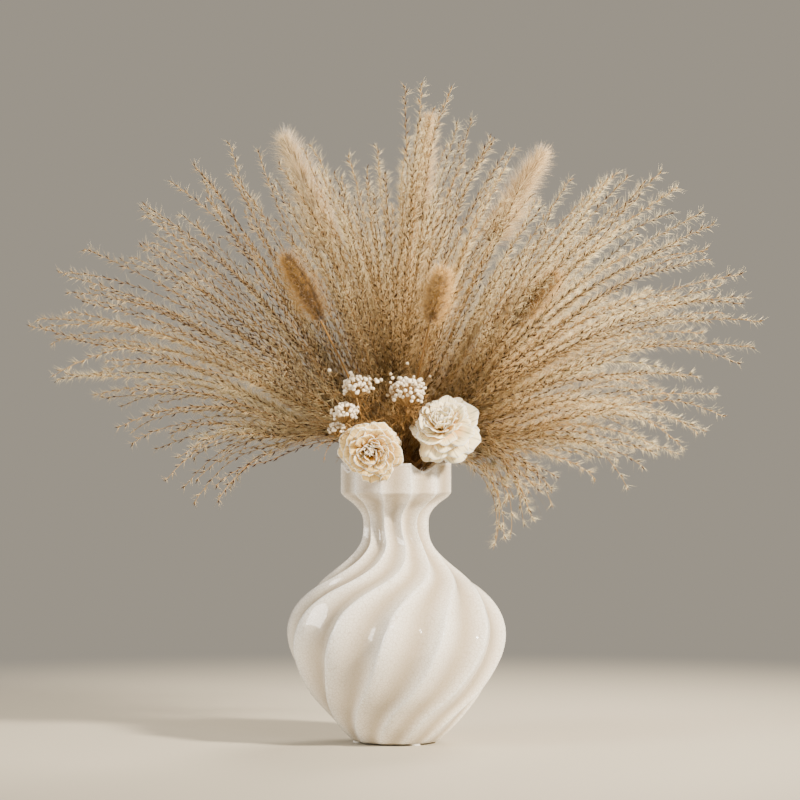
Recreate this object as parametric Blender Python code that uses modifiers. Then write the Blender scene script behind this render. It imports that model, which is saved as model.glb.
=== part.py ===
"""Vase of dried flowers.

A fluted ceramic vase on three clear pads, holding silver-grass plumes, reed plumes, bunny-tail
grasses, two sola-wood flowers and sprays of small white buds. Metres, +Z up, the viewer at -Y.
"""

import math
import random

import bpy
import bmesh
import numpy as np
from mathutils import Matrix, Vector

MM = 0.001

# Vase: rings from the foot to the rim, each (height, radius at the ridges, depth of the flutes,
# turn of the ridges in degrees), all lengths in millimetres
VASE_RINGS = (
    (2, 39, 0.6, -112), (7, 45, 1.6, -108), (16, 54, 3.2, -102), (29, 65, 5.2, -93.5),
    (46, 79, 7.2, -82), (66, 91, 8.8, -74), (87, 99, 10, -69), (107, 99, 10.5, -64.5),
    (124, 91.5, 10.5, -60), (140, 77, 10, -49), (152, 62, 8.8, -34), (164, 47.5, 7, -21.5),
    (179, 34.5, 5.4, -15), (196, 30, 5.2, -20.5), (208, 32, 5.8, -20), (218, 41, 8, -15.5),
    (224, 49, 6, -15), (228, 51.7, 1.8, -15), (254.5, 51.7, 1.8, -15),
)
FLUTES = 12
FLUTE_STEPS = (0.0, 0.28, 0.6, 0.84)
BODY_VALLEY = 0.62
NECK_VALLEY = 0.48
NECK_FROM = 150 * MM
RIM_DIP = 7.5 * MM
DIPPED_FLUTES = (1, 4, 7, 10)
INNER_RINGS = ((254.5, 45.5), (229, 42), (214, 25), (196, 22), (172, 30), (140, 60), (95, 84),
               (40, 66), (8, 38))

# Pads under the foot
PAD_RADIUS = 4.8 * MM
PAD_HEIGHT = 1.7 * MM
PAD_CIRCLE = 34.2 * MM
PAD_TURNS = {"pad_left": 180, "pad_front": -60, "pad_back": 60}

TOUCH_GAP = 0.3 * MM
STEM_FOOT = 8 * MM + TOUCH_GAP

# The fountain that every stem follows: it leaves the neck at this height and opens sideways
# and, higher up, to the front and back. Reaches are measured along a stem from that height.
MOUTH = 236 * MM
NECK_SIDE_PITCH = 0.155 * MM
NECK_DEPTH_PITCH = 0.29 * MM
SIDE_AT_MOUTH = 0.25
SIDE_OPENED = 0.87
SIDE_OPENS_BY = 110 * MM
DEPTH_AT_MOUTH = 0.15
DEPTH_OPENS_FROM = 40 * MM
DEPTH_OPENS_BY = 190 * MM
DROOP = 0.22
# Room the grass leaves around a reed plume or a bunny tail: beside the stem, beside the head, and
# before and after the head, in millimetres
STEM_ROOM = 2.2
HEAD_ROOM = 4
HEAD_ROOM_ALONG = 16
NEAREST_REACH = 20 * MM

# How far the silver grass reaches in the photograph's plane: (degrees from upright, millimetres)
FAN_OUTLINE = (
    (-94, 173), (-81, 214), (-73, 276), (-67, 354), (-58, 355), (-40, 337), (-26, 342),
    (-14, 318), (-4, 290), (3, 370), (12, 337), (23, 325), (30, 318), (40, 371), (51, 365),
    (67, 354), (76, 296), (85, 228), (92, 165), (107, 116), (130, 92),
)
# Racemes whose tips stand out furthest: side and depth angles in degrees
LEADERS = (
    (-84, 0), (-72, 0), (-61, 0), (-53, 0), (-37, 0), (-24, 0), (2, 0), (11, 0), (36, 0), (54, 0),
    (61, 0), (70, 0), (81, 0), (112, 0), (-4, -34), (-4, 34),
)

# Silver-grass plumes: side and depth angles of the middle of each plume's share of the fan, then
# those of its culm, in degrees
GRASS_PLUMES = {
    "silver_grass_left_front": ((-52, -20), (-46, -17)),
    "silver_grass_left_low": ((-78, 0), (-63, 0)),
    "silver_grass_left_high": ((-40, 0), (-37, 0)),
    "silver_grass_left_back": ((-52, 21), (-48, 18)),
    "silver_grass_middle_front": ((-2, -20), (-1, -17)),
    "silver_grass_middle": ((0, 0), (0, 0)),
    "silver_grass_middle_back": ((0, 21), (0, 18)),
    "silver_grass_right_front": ((50, -20), (44, -17)),
    "silver_grass_right_high": ((42, 0), (38, 0)),
    "silver_grass_right_low": ((90, 0), (72, 0)),
    "silver_grass_right_back": ((56, 21), (50, 18)),
}
SIDE_SPAN = (-92, 128)
DEPTH_SPAN = (-31.5, 31)
RACEME_SIDE_STEP = 22
# Where the fan reaches less far than this the racemes stand further apart
EVEN_REACH = 230 * MM
RACEME_ROWS = 6
RACEME_SCATTER = 2
RACEME_LENGTHS = (0.85, 0.99)
CELL_FILL = 0.9
CULM_TOP = 112 * MM
CULM_STEP = 16 * MM
CULM_RADIUS = 1.5 * MM
CULM_TAPER = 0.2
# Racemes leave the culm from a little below its top down to the foot of this branched length
CULM_TIP = 6 * MM
CULM_BRANCHED = 58 * MM
RACEME_RADIUS = 0.75 * MM
RACEME_TAPER = 0.4
# Share of its turn that a raceme takes early, and share of its length without spikelets
RACEME_QUICK = 0.55
RACEME_BARE = 0.24
# A pair of spikelets springs from a ring of the raceme and overhangs the waist that follows it
SPIKELET_STEP = 25 * MM
SPIKELET_OUT = 2.5 * MM
SPIKELET_FORWARD = 8 * MM
SPIKELET_WAIST = 4 * MM

# Bunny tails and reed plumes: side and depth angles, reach of the head's middle, head length and
# width, stem radius
BUNNY_TAILS = {
    "bunny_tail_left": (-24.7, -36, 232, 76, 32), "bunny_tail_middle": (11.8, -38, 212, 56, 34),
    "bunny_tail_right": (37.9, -14, 208, 60, 34),
}
REED_PLUMES = {
    "reed_plume_left": (-16, 13, 286, 120, 40), "reed_plume_middle": (4.7, 12, 298, 104, 26),
    "reed_plume_right": (21.2, 14, 294, 104, 34),
}
BUNNY_STEM_RADIUS = 0.9 * MM
REED_STEM_RADIUS = 1.5 * MM
HEAD_STEM_STEP = 35 * MM
HEAD_ROOT = 12 * MM
HEAD_COLUMNS = 12
BUNNY_ROWS = 12
REED_ROWS = 14
# A head's tufts stand out from hollows this share of its radius, and lean forward by a lift
HEAD_HOLLOW = 0.52
HEAD_BLUNTNESS = 0.6
BUNNY_LIFT = 6 * MM
REED_LIFT = 13 * MM
TUFT_PUSH = 2 * MM

# Sola-wood flowers: middle of the head, the way it faces, its radius, and where its stem stands
SOLA_FLOWERS = {
    "sola_flower_left": ((-22, -60, 264), (-0.06, -0.98, -0.16), 30, (-6.5, -17)),
    "sola_flower_right": ((45, -50, 283), (0.02, -0.80, 0.58), 33, (8, -17)),
}
SOLA_CORE_RADIUS = 9 * MM
SOLA_STEM_RADIUS = 1.3 * MM
SOLA_STEM_STEPS = 6
# The stem leaves the neck from just under the rim, rises straight, and meets the head from behind
SOLA_NECK = 230 * MM
SOLA_RISE = 24 * MM
SOLA_BEND = 11 * MM
PETAL_THICKNESS = 0.9 * MM
PETAL_ROLL = 13
PETAL_ROOT = 3 * MM
PETAL_CUP = 0.1
# Rows of points across a petal: share of its length and share of its width
PETAL_ROWS = ((0.5, 1.0), (1.0, 0.72))
PETAL_SCATTER = 3
PETAL_RIPPLE = 1.2 * MM
PETAL_RING_LIFT = 1 * MM
# Rings of petals: count, length and width as shares of the head's radius, rise at the root and
# added rise at the tip in degrees
PETAL_RINGS = (
    (6, 1.00, 0.78, 2, 12), (6, 0.86, 0.64, 26, 12), (5, 0.66, 0.46, 48, 14),
    (3, 0.48, 0.42, 66, 16), (2, 0.36, 0.26, 80, 12),
)

# Bud sprays: where the stem stands, its fork, then each head's middle, radius and bud count
BUD_SPRAYS = {
    "bud_spray_left": ((-13, -15), (-27, -36, 276),
                       (((-35, -66, 323), 12, 8), ((-46, -63, 299), 11, 7),
                        ((-54, -50, 286), 6, 3))),
    "bud_spray_right": ((1.5, -18), (5, -34, 282), (((11, -56, 318), 16, 13),)),
}
# A head's core, where its buds sit and how large they are, as shares of the head's radius
BUD_CORE = 0.66
BUD_SEAT = 0.68
BUD_SIZE = 0.3
BUD_LOWEST = -0.45
BUD_STEM_RADIUS = 1.1 * MM
BUD_BRANCH_RADIUS = 0.9 * MM
BUD_NECK = 232 * MM
BUD_ARCH = 4 * MM
BUD_OVERLAP = 2 * MM

SEED = 7
GOLDEN = (math.sqrt(5) - 1) / 2


def clear_scene():
    for item in list(bpy.data.objects):
        bpy.data.objects.remove(item)


def new_material(name, colour, roughness, alpha=1.0):
    material = bpy.data.materials.new(name)
    material.use_nodes = True
    shader = material.node_tree.nodes["Principled BSDF"]
    shader.inputs["Base Color"].default_value = (*colour, 1)
    shader.inputs["Roughness"].default_value = roughness
    shader.inputs["Alpha"].default_value = alpha
    return material


def smooth(low, high, value):
    """0 below low, 1 above high, and an S curve between."""
    t = min(max((value - low) / (high - low), 0.0), 1.0)
    return t * t * (3 - 2 * t)


def mesh_object(name, points, faces, collection, material=None):
    mesh = bpy.data.meshes.new(name)
    mesh.from_pydata([tuple(point) for point in points], [], faces)
    mesh.validate()
    mesh.update()
    if material:
        mesh.materials.append(material)
    item = bpy.data.objects.new(name, mesh)
    collection.objects.link(item)
    return item


def grid_faces(rows, columns, closed=True):
    """Quads between neighbouring rows of a grid, numbered row by row."""
    faces = []
    for row in range(rows - 1):
        for column in range(columns if closed else columns - 1):
            following = (column + 1) % columns
            a, b = row * columns + column, row * columns + following
            faces.append((a, b, b + columns, a + columns))
    return faces


# Vase


def flute_depth(share, depth, height):
    """Depth below the ridge at a share 0 to 1 of the way from one ridge to the next."""
    valley = NECK_VALLEY if height > NECK_FROM else BODY_VALLEY
    lean = math.log(0.5) / math.log(valley)
    return depth * math.sin(math.pi * share ** lean)


def rim_height(flute, share):
    """The rim dips in every third flute."""
    dip = RIM_DIP * math.sin(math.pi * share) ** 2 if flute in DIPPED_FLUTES else 0.0
    return VASE_RINGS[-1][0] * MM - dip


def vase_point(radius, turn, height):
    """A point at this radius and turn, the turn counted from the viewer's side to the right."""
    angle = math.radians(turn)
    return Vector((radius * math.sin(angle), -radius * math.cos(angle), height))


def make_vase(collection, material):
    spacing = 360 / FLUTES
    columns = [(flute, share) for flute in range(FLUTES) for share in FLUTE_STEPS]
    points = []
    for height_mm, radius, depth, turn in VASE_RINGS:
        for flute, share in columns:
            height = height_mm * MM
            out = radius * MM - flute_depth(share, depth * MM, height)
            if height_mm == VASE_RINGS[-1][0]:
                height = rim_height(flute, share)
            points.append(vase_point(out, turn + spacing * (flute + share), height))
    for height_mm, radius in INNER_RINGS:
        for flute, share in columns:
            height = height_mm * MM
            if height_mm == INNER_RINGS[0][0]:
                height = rim_height(flute, share)
            turn = VASE_RINGS[-1][3] + spacing * (flute + share)
            points.append(vase_point(radius * MM, turn, height))
    count = len(columns)
    faces = grid_faces(len(VASE_RINGS) + len(INNER_RINGS), count)
    faces.append(tuple(range(count - 1, -1, -1)))
    last = len(points) - count
    faces.append(tuple(range(last, last + count)))
    vase = mesh_object("vase", points, faces, collection, material)
    vase.data.shade_smooth()
    vase.data.set_sharp_from_angle(angle=math.radians(35))
    return vase


def make_pads(collection, material):
    for name, turn in PAD_TURNS.items():
        place = vase_point(PAD_CIRCLE, turn + 90, PAD_HEIGHT / 2)
        bpy.ops.mesh.primitive_cylinder_add(vertices=12, radius=PAD_RADIUS, depth=PAD_HEIGHT,
                                            location=place)
        pad = bpy.context.object
        pad.name = name
        pad.data.materials.append(material)
        for home in list(pad.users_collection):
            home.objects.unlink(pad)
        collection.objects.link(pad)


# Paths through the fountain


def full_reach(side):
    """How far a stem with this side angle goes to meet the fan's outline, arched over."""
    turns, reaches = zip(*FAN_OUTLINE)
    return float(np.interp(side * (SIDE_OPENED + DROOP), turns, reaches)) * MM


def turned(side, reach):
    """Share of its side angle that a stem has turned through at this reach: it opens above the
    mouth, then arches over with the square of the share of its full reach.
    """
    opened = SIDE_AT_MOUTH + (SIDE_OPENED - SIDE_AT_MOUTH) * smooth(0, SIDE_OPENS_BY, reach)
    return opened + DROOP * (reach / full_reach(side)) ** 2


def fountain(side, depth, reach):
    """The point at this reach on the stem with these side and depth angles in degrees."""
    root = Vector((NECK_SIDE_PITCH * side, NECK_DEPTH_PITCH * depth, MOUTH))
    if reach <= 0:
        return root + Vector((0, 0, reach))
    across = math.radians(side * turned(side, reach))
    deep = DEPTH_AT_MOUTH + (1 - DEPTH_AT_MOUTH) * smooth(DEPTH_OPENS_FROM, DEPTH_OPENS_BY, reach)
    away = math.radians(depth * deep)
    way = Vector((math.sin(across) * math.cos(away), math.sin(away),
                  math.cos(across) * math.cos(away)))
    return root + way * reach


def part_around(side, depth, reach):
    """Side and depth angles bent clear of every bunny tail and reed plume."""
    guests = [(guest, BUNNY_STEM_RADIUS) for guest in BUNNY_TAILS.values()]
    guests += [(guest, REED_STEM_RADIUS) for guest in REED_PLUMES.values()]
    for (guest_side, guest_depth, middle, length, width), stem in guests:
        beyond = abs(reach / MM - middle) / (0.5 * length + HEAD_ROOM_ALONG)
        swell = math.sqrt(max(0.0, 1 - beyond))
        half_width = stem + (STEM_ROOM + (0.5 * width + HEAD_ROOM) * swell) * MM
        clear = math.degrees(half_width / max(reach, NEAREST_REACH))
        away = Vector((side - guest_side, depth - guest_depth))
        size = max(away.length, 0.01)
        away *= math.sqrt(size * size + clear * clear) / size
        side, depth = guest_side + away.x, guest_depth + away.y
    return side, depth


# Lofted tubes


def frames_along(path):
    """Two directions across each point of a path, kept level with the viewer's direction."""
    across = []
    for index in range(len(path)):
        tangent = (path[min(index + 1, len(path) - 1)] - path[max(index - 1, 0)]).normalized()
        first = tangent.cross(Vector((0, 1, 0)))
        if first.length < 0.05:
            first = tangent.cross(Vector((1, 0, 0)))
        first.normalize()
        across.append((tangent, first, tangent.cross(first)))
    return across


def tube(name, path, radii, collection, sides=3, barbs=()):
    """A closed tapering tube. Each ring named in barbs has a pair of corners drawn out and forward,
    as a pair of spikelets."""
    points, faces = [], []
    for index, (place, radius, (tangent, first, second)) in enumerate(
            zip(path, radii, frames_along(path))):
        for corner in range(sides):
            angle = 2 * math.pi * corner / sides + 0.5
            out = first * math.cos(angle) + second * math.sin(angle)
            point = place + out * radius
            if index in barbs and corner != (index // 2) % sides:
                point += out * SPIKELET_OUT + tangent * SPIKELET_FORWARD
            points.append(point)
    faces = grid_faces(len(path), sides)
    faces.append(tuple(range(sides - 1, -1, -1)))
    last = len(points) - sides
    faces.append(tuple(range(last, last + sides)))
    return mesh_object(name, points, faces, collection)


def keep_main_body(mesh):
    """Fills hollows sealed by a union, and drops loose scraps, by keeping the widest shell."""
    shape = bmesh.new()
    shape.from_mesh(mesh)
    left, shells = set(shape.verts), []
    while left:
        shell, edge = set(), [left.pop()]
        while edge:
            vertex = edge.pop()
            shell.add(vertex)
            for link in vertex.link_edges:
                other = link.other_vert(vertex)
                if other in left:
                    left.remove(other)
                    edge.append(other)
        shells.append(shell)
    shells.sort(key=len)
    scraps = [vertex for shell in shells[:-1] for vertex in shell]
    bmesh.ops.delete(shape, geom=scraps, context="VERTS")
    shape.to_mesh(mesh)
    shape.free()


def fused(base, pieces, collection, material):
    """The base and its pieces as one body, by one union on a collection of the pieces."""
    group = bpy.data.collections.new(base.name + " pieces")
    bpy.context.scene.collection.children.link(group)
    for piece in pieces:
        for home in list(piece.users_collection):
            home.objects.unlink(piece)
        group.objects.link(piece)
    union = base.modifiers.new("Join the pieces", "BOOLEAN")
    union.operation = "UNION"
    union.operand_type = "COLLECTION"
    union.collection = group
    union.solver = "MANIFOLD"
    graph = bpy.context.evaluated_depsgraph_get()
    mesh = bpy.data.meshes.new_from_object(base.evaluated_get(graph))
    mesh.name = base.name
    keep_main_body(mesh)
    base.modifiers.clear()
    base.data = mesh
    base.data.materials.clear()
    base.data.materials.append(material)
    for piece in pieces:
        bpy.data.objects.remove(piece)
    bpy.data.collections.remove(group)
    for home in list(base.users_collection):
        home.objects.unlink(base)
    collection.objects.link(base)
    return base


# Silver grass


def plume_of(side, depth):
    """The plume whose share of the fan this raceme falls in."""
    return min(GRASS_PLUMES, key=lambda name: math.dist(GRASS_PLUMES[name][0], (side, depth)))


def raceme_tips(rng):
    """Side and depth angles and reach of every raceme, in staggered rows, plume by plume."""
    tips = {name: [] for name in GRASS_PLUMES}
    for side, depth in LEADERS:
        tips[plume_of(side, depth)].append((side, depth, full_reach(side)))
    for row in range(RACEME_ROWS):
        share = row / (RACEME_ROWS - 1)
        depth = DEPTH_SPAN[0] + (DEPTH_SPAN[1] - DEPTH_SPAN[0]) * share
        side = SIDE_SPAN[0] + RACEME_SIDE_STEP * (GOLDEN * row % 1)
        while side <= SIDE_SPAN[1]:
            tip = [angle + rng.uniform(-RACEME_SCATTER, RACEME_SCATTER) for angle in (side, depth)]
            name = plume_of(*tip)
            held = [middle + (end - middle) * CELL_FILL
                    for middle, end in zip(GRASS_PLUMES[name][1], tip)]
            tips[name].append((*held, full_reach(held[0]) * rng.uniform(*RACEME_LENGTHS)))
            side += RACEME_SIDE_STEP * max(1, EVEN_REACH / full_reach(side))
    return tips


def raceme_path(culm, tip, start):
    """From its place on the culm a raceme turns away quickly, then arches to its tip."""
    side, depth, reach = tip
    bare = start + RACEME_BARE * (reach - start)
    steps = max(2, round((reach - bare) / SPIKELET_STEP))
    reaches = [start, start + 0.4 * (bare - start), start + 0.8 * (bare - start)]
    for step in range(steps):
        pair = bare + (reach - SPIKELET_FORWARD - bare) * step / (steps - 0.5)
        reaches += [pair, pair + SPIKELET_WAIST]
    reaches.append(reach)
    path = []
    for along in reaches:
        quick = (1 - start / along) / (1 - start / reach)
        even = (along - start) / (reach - start)
        spread = RACEME_QUICK * quick + (1 - RACEME_QUICK) * even
        now = [middle + (end - middle) * spread for middle, end in zip(culm, (side, depth))]
        path.append(fountain(*part_around(*now, along), along))
    return path


def make_grass(collection, material):
    rng = random.Random(SEED)
    for name, tips in raceme_tips(rng).items():
        culm = GRASS_PLUMES[name][1]
        steps = round(CULM_TOP / CULM_STEP)
        reaches = [STEM_FOOT - MOUTH] + [CULM_TOP * step / steps for step in range(steps + 1)]
        path = [fountain(*part_around(*culm, max(reach, 0)), reach) for reach in reaches]
        radii = [CULM_RADIUS * (1 - CULM_TAPER * max(reach, 0) / CULM_TOP) for reach in reaches]
        base = tube(name, path, radii, collection, sides=4)
        pieces = []
        tips.sort(key=lambda tip: math.dist(culm, tip[:2]))
        for index, tip in enumerate(tips):
            share = index / max(len(tips) - 1, 1)
            start = CULM_TOP - CULM_TIP - CULM_BRANCHED * share
            way = raceme_path(culm, tip, start)
            taper = [RACEME_RADIUS * (1 - RACEME_TAPER * step / len(way))
                     for step in range(len(way))]
            barbs = range(3, len(way) - 1, 2)
            pieces.append(tube("raceme", way, taper, collection, barbs=barbs))
        fused(base, pieces, collection, material)


# Soft heads on stems


def head_surface(name, path, widths, lift, collection, rng):
    """A closed head around a path, every second point drawn out and forward as a tuft."""
    columns = HEAD_COLUMNS
    points = [path[0]]
    for index in range(1, len(path) - 1):
        tangent, first, second = frames_along(path)[index]
        for column in range(columns):
            angle = 2 * math.pi * (column + 0.5 * (index % 2)) / columns
            out = first * math.cos(angle) + second * math.sin(angle)
            tuft = column % 2 == (index // 2) % 2
            radius = widths[index] + TUFT_PUSH if tuft else widths[index] * HEAD_HOLLOW
            forward = lift * rng.uniform(0.8, 1.2) if tuft else 0.0
            points.append(path[index] + out * radius + tangent * forward)
    points.append(path[-1])
    faces = []
    rows = len(path) - 2
    for column in range(columns):
        following = (column + 1) % columns
        faces.append((0, 1 + following, 1 + column))
        top = 1 + (rows - 1) * columns
        faces.append((len(points) - 1, top + column, top + following))
    for row in range(rows - 1):
        for column in range(columns):
            following = (column + 1) % columns
            a, b = 1 + row * columns + column, 1 + row * columns + following
            if row % 2 == 0:
                faces += [(a, b, a + columns), (b, b + columns, a + columns)]
            else:
                faces += [(a, b, b + columns), (a, b + columns, a + columns)]
    return mesh_object(name, points, faces, collection)


def make_soft_heads(plan, stem_radius, rows, lift, collection, material, rng):
    for name, (side, depth, middle, length, width) in plan.items():
        low, high = (middle - length / 2) * MM, (middle + length / 2) * MM
        steps = round(low / HEAD_STEM_STEP)
        reaches = [STEM_FOOT - MOUTH] + [low * step / steps for step in range(steps)]
        reaches.append(low + HEAD_ROOT)
        stem = tube(name, [fountain(side, depth, reach) for reach in reaches],
                    [stem_radius] * len(reaches), collection, sides=4)
        shares = [step / rows for step in range(rows + 1)]
        path = [fountain(side, depth, low + (high - low) * share) for share in shares]
        widths = [0.5 * width * MM * abs(math.sin(math.pi * share)) ** HEAD_BLUNTNESS
                  for share in shares]
        head = head_surface("head", path, widths, lift, collection, rng)
        fused(stem, [head], collection, material)


# Sola-wood flowers


def petal(length, width, rise, curl, ripple, collection):
    """One shaved petal: an open blade cupped across and curled up along its length."""
    out, up = PETAL_ROOT, 0.0
    points = [(out, 0, up)]
    for share, spread in PETAL_ROWS:
        angle = math.radians(rise + curl * (share - 0.25))
        out += length / len(PETAL_ROWS) * math.cos(angle)
        up += length / len(PETAL_ROWS) * math.sin(angle)
        for across in (-1, 0, 1):
            cup = PETAL_CUP * width * across * across * (0.5 + share)
            wave = 0.0 if across else ripple * share
            points.append((out - 0.35 * cup, 0.5 * width * spread * across, up + cup + wave))
    faces = [(0, 2, 1), (0, 3, 2)] + [tuple(corner + 1 for corner in face)
                                      for face in grid_faces(len(PETAL_ROWS), 3, closed=False)]
    blade = mesh_object("petal", points, faces, collection)
    shape = bmesh.new()
    shape.from_mesh(blade.data)
    bmesh.ops.triangulate(shape, faces=shape.faces)
    shape.to_mesh(blade.data)
    shape.free()
    solidify = blade.modifiers.new("Thickness", "SOLIDIFY")
    solidify.thickness = PETAL_THICKNESS
    solidify.offset = 0
    return blade


def make_flowers(collection, petal_material, stem_material, rng):
    for name, (middle, facing, radius, root) in SOLA_FLOWERS.items():
        middle = Vector(middle) * MM
        facing = Vector(facing).normalized()
        turned = Matrix.Translation(middle) @ facing.to_track_quat("Z", "Y").to_matrix().to_4x4()
        core = ball(SOLA_CORE_RADIUS, Vector(), collection)
        core.name = name
        core.data.transform(turned)
        pieces = []
        for ring, (count, length, width, rise, curl) in enumerate(PETAL_RINGS):
            for index in range(count):
                turn = 2 * math.pi * (index + 0.5 * (ring % 2)) / count
                turn += math.radians(rng.uniform(-2, 2) * PETAL_SCATTER)
                blade = petal(length * (radius * MM - PETAL_ROOT), width * radius * MM,
                              rise + rng.uniform(-PETAL_SCATTER, PETAL_SCATTER), curl,
                              rng.uniform(-PETAL_RIPPLE, PETAL_RIPPLE), collection)
                blade.data.transform(turned @ Matrix.Translation((0, 0, ring * PETAL_RING_LIFT))
                                     @ Matrix.Rotation(turn, 4, "Z")
                                     @ Matrix.Rotation(math.radians(PETAL_ROLL), 4, "X"))
                pieces.append(blade)
        fused(core, pieces, collection, petal_material)

        behind = middle - facing * (SOLA_CORE_RADIUS + TOUCH_GAP)
        foot = Vector((root[0] * MM, root[1] * MM, STEM_FOOT))
        neck = Vector((root[0] * MM, root[1] * MM, SOLA_NECK))
        risen = neck + Vector((0, 0, SOLA_RISE))
        bend = behind - facing * SOLA_BEND
        path = [foot, neck]
        for step in range(1, SOLA_STEM_STEPS + 1):
            t = step / SOLA_STEM_STEPS
            path.append(neck * (1 - t) ** 3 + risen * 3 * t * (1 - t) ** 2
                        + bend * 3 * t * t * (1 - t) + behind * t ** 3)
        stem = tube(name + "_stem", path, [SOLA_STEM_RADIUS] * len(path), collection, sides=6)
        stem.data.materials.append(stem_material)


# Bud sprays


def ball(radius, place, collection):
    shape = bmesh.new()
    bmesh.ops.create_icosphere(shape, subdivisions=1, radius=radius,
                               matrix=Matrix.Translation(place))
    mesh = bpy.data.meshes.new("ball")
    shape.to_mesh(mesh)
    shape.free()
    item = bpy.data.objects.new("ball", mesh)
    collection.objects.link(item)
    return item


def make_bud_sprays(collection, material, rng):
    for name, (root, fork, heads) in BUD_SPRAYS.items():
        foot = Vector((root[0], root[1], STEM_FOOT / MM)) * MM
        neck = Vector((root[0] * MM, root[1] * MM, BUD_NECK))
        fork = Vector(fork) * MM
        bend = neck.lerp(fork, 0.6) + Vector((0, 0, BUD_ARCH))
        base = tube(name, [foot, neck, bend, fork], [BUD_STEM_RADIUS] * 4, collection, sides=4)
        pieces = []
        for middle, radius, count in heads:
            middle = Vector(middle) * MM
            pieces.append(ball(BUD_CORE * radius * MM, middle, collection))
            bend = fork.lerp(middle, 0.5) + Vector((0, BUD_ARCH, 0))
            path = [fork - Vector((0, 0, BUD_OVERLAP)), bend, middle]
            pieces.append(tube("branch", path, [BUD_BRANCH_RADIUS] * 3, collection, sides=3))
            for index in range(count):
                turn = 2 * math.pi * GOLDEN * index
                up = 1 - (1 - BUD_LOWEST) * (index + 0.5) / count
                flat = math.sqrt(1 - up * up)
                way = Vector((flat * math.cos(turn), flat * math.sin(turn), up))
                place = middle + way * BUD_SEAT * radius * MM
                pieces.append(ball(BUD_SIZE * radius * rng.uniform(0.94, 1.06) * MM, place,
                                   collection))
        fused(base, pieces, collection, material)


def main():
    clear_scene()
    collection = bpy.data.collections.new("vase_of_dried_flowers")
    bpy.context.scene.collection.children.link(collection)
    rng = random.Random(SEED + 1)

    make_vase(collection, new_material("crackle_glaze", (0.86, 0.84, 0.79), 0.25))
    make_pads(collection, new_material("clear_rubber", (0.80, 0.80, 0.78), 0.3, alpha=0.5))
    make_grass(collection, new_material("silver_grass", (0.50, 0.38, 0.22), 0.8))
    make_soft_heads(BUNNY_TAILS, BUNNY_STEM_RADIUS, BUNNY_ROWS, BUNNY_LIFT, collection,
                    new_material("bunny_tail", (0.62, 0.42, 0.20), 0.9), rng)
    make_soft_heads(REED_PLUMES, REED_STEM_RADIUS, REED_ROWS, REED_LIFT, collection,
                    new_material("reed_plume", (0.66, 0.52, 0.34), 0.9), rng)
    make_flowers(collection, new_material("sola_wood", (0.80, 0.70, 0.52), 0.8),
                 new_material("dry_reed", (0.42, 0.30, 0.16), 0.8), rng)
    make_bud_sprays(collection, new_material("bud_spray", (0.84, 0.78, 0.64), 0.8), rng)


main()
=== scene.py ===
import math
import random

import bpy
import bmesh
import numpy as np
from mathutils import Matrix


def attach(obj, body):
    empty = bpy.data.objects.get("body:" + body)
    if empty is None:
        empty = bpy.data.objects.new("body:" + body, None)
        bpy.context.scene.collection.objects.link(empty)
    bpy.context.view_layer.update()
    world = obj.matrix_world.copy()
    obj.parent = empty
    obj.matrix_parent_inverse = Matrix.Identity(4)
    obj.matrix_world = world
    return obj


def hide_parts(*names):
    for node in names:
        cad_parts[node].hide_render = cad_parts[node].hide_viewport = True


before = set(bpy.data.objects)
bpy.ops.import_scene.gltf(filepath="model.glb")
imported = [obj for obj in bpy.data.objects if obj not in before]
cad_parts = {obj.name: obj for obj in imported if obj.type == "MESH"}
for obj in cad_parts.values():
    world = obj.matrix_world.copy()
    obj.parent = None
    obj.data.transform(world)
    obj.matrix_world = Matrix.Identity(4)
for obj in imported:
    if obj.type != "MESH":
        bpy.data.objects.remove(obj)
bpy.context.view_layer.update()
mm = 0.001
golden = (math.sqrt(5) - 1) / 2  # steps of this share of a turn never line up
print("frame loaded:", len(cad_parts), "nodes")


# Camera, floor and light

cameraView = {"place": (0.0036, -3.0, 0.311), "tilt": 90, "lens": 148.5, "sensor": 36}

camera = bpy.data.cameras.new("camera")
camera.lens = cameraView["lens"]
camera.sensor_width = cameraView["sensor"]
cameraObject = bpy.data.objects.new("camera", camera)
cameraObject.location = cameraView["place"]
cameraObject.rotation_euler = (math.radians(cameraView["tilt"]), 0, 0)
bpy.context.scene.collection.objects.link(cameraObject)
bpy.context.scene.camera = cameraObject


# An sRGB hex colour as linear red, green, blue and alpha: a straight line for near black and a
# power of 2.4 above it
def linearColour(hexText):
    parts = [int(hexText[i:i + 2], 16) / 255 for i in (1, 3, 5)]
    return tuple(c / 12.92 if c <= 0.04045 else ((c + 0.055) / 1.055) ** 2.4 for c in parts) + (1,)


# Adds one node: its settings, its input values, the sockets linked into it and a ramp's stops
def addNode(tree, kind, settings=None, values=None, links=None, stops=None):
    node = tree.nodes.new(kind)
    for key, value in (settings or {}).items():
        setattr(node, key, value)
    for key, value in (values or {}).items():
        node.inputs[key].default_value = value
    for key, socket in (links or {}).items():
        tree.links.new(socket, node.inputs[key])
    if stops:
        ramp = node.color_ramp
        while len(ramp.elements) < len(stops):
            ramp.elements.new(1)
        for element, (place, colour) in zip(ramp.elements, stops):
            element.position = place
            element.color = linearColour(colour)
    return node


# An empty material with its Principled shader, uniform values set on the shader itself
def newMaterial(name, values):
    material = bpy.data.materials.new(name)
    material.use_nodes = True
    shader = material.node_tree.nodes["Principled BSDF"]
    for key, value in values.items():
        shader.inputs[key].default_value = value
    return material, material.node_tree, shader


backdrop = {"wall": "#a39b8d", "floor": "#b9b3a5", "radius": 9, "sides": 96,
            "fadeFrom": 0.3, "fadeTo": 1.1,  # metres from the vase over which the floor fades
            "ambient": 0.5}  # how brightly the wall's tone lights the room

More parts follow.
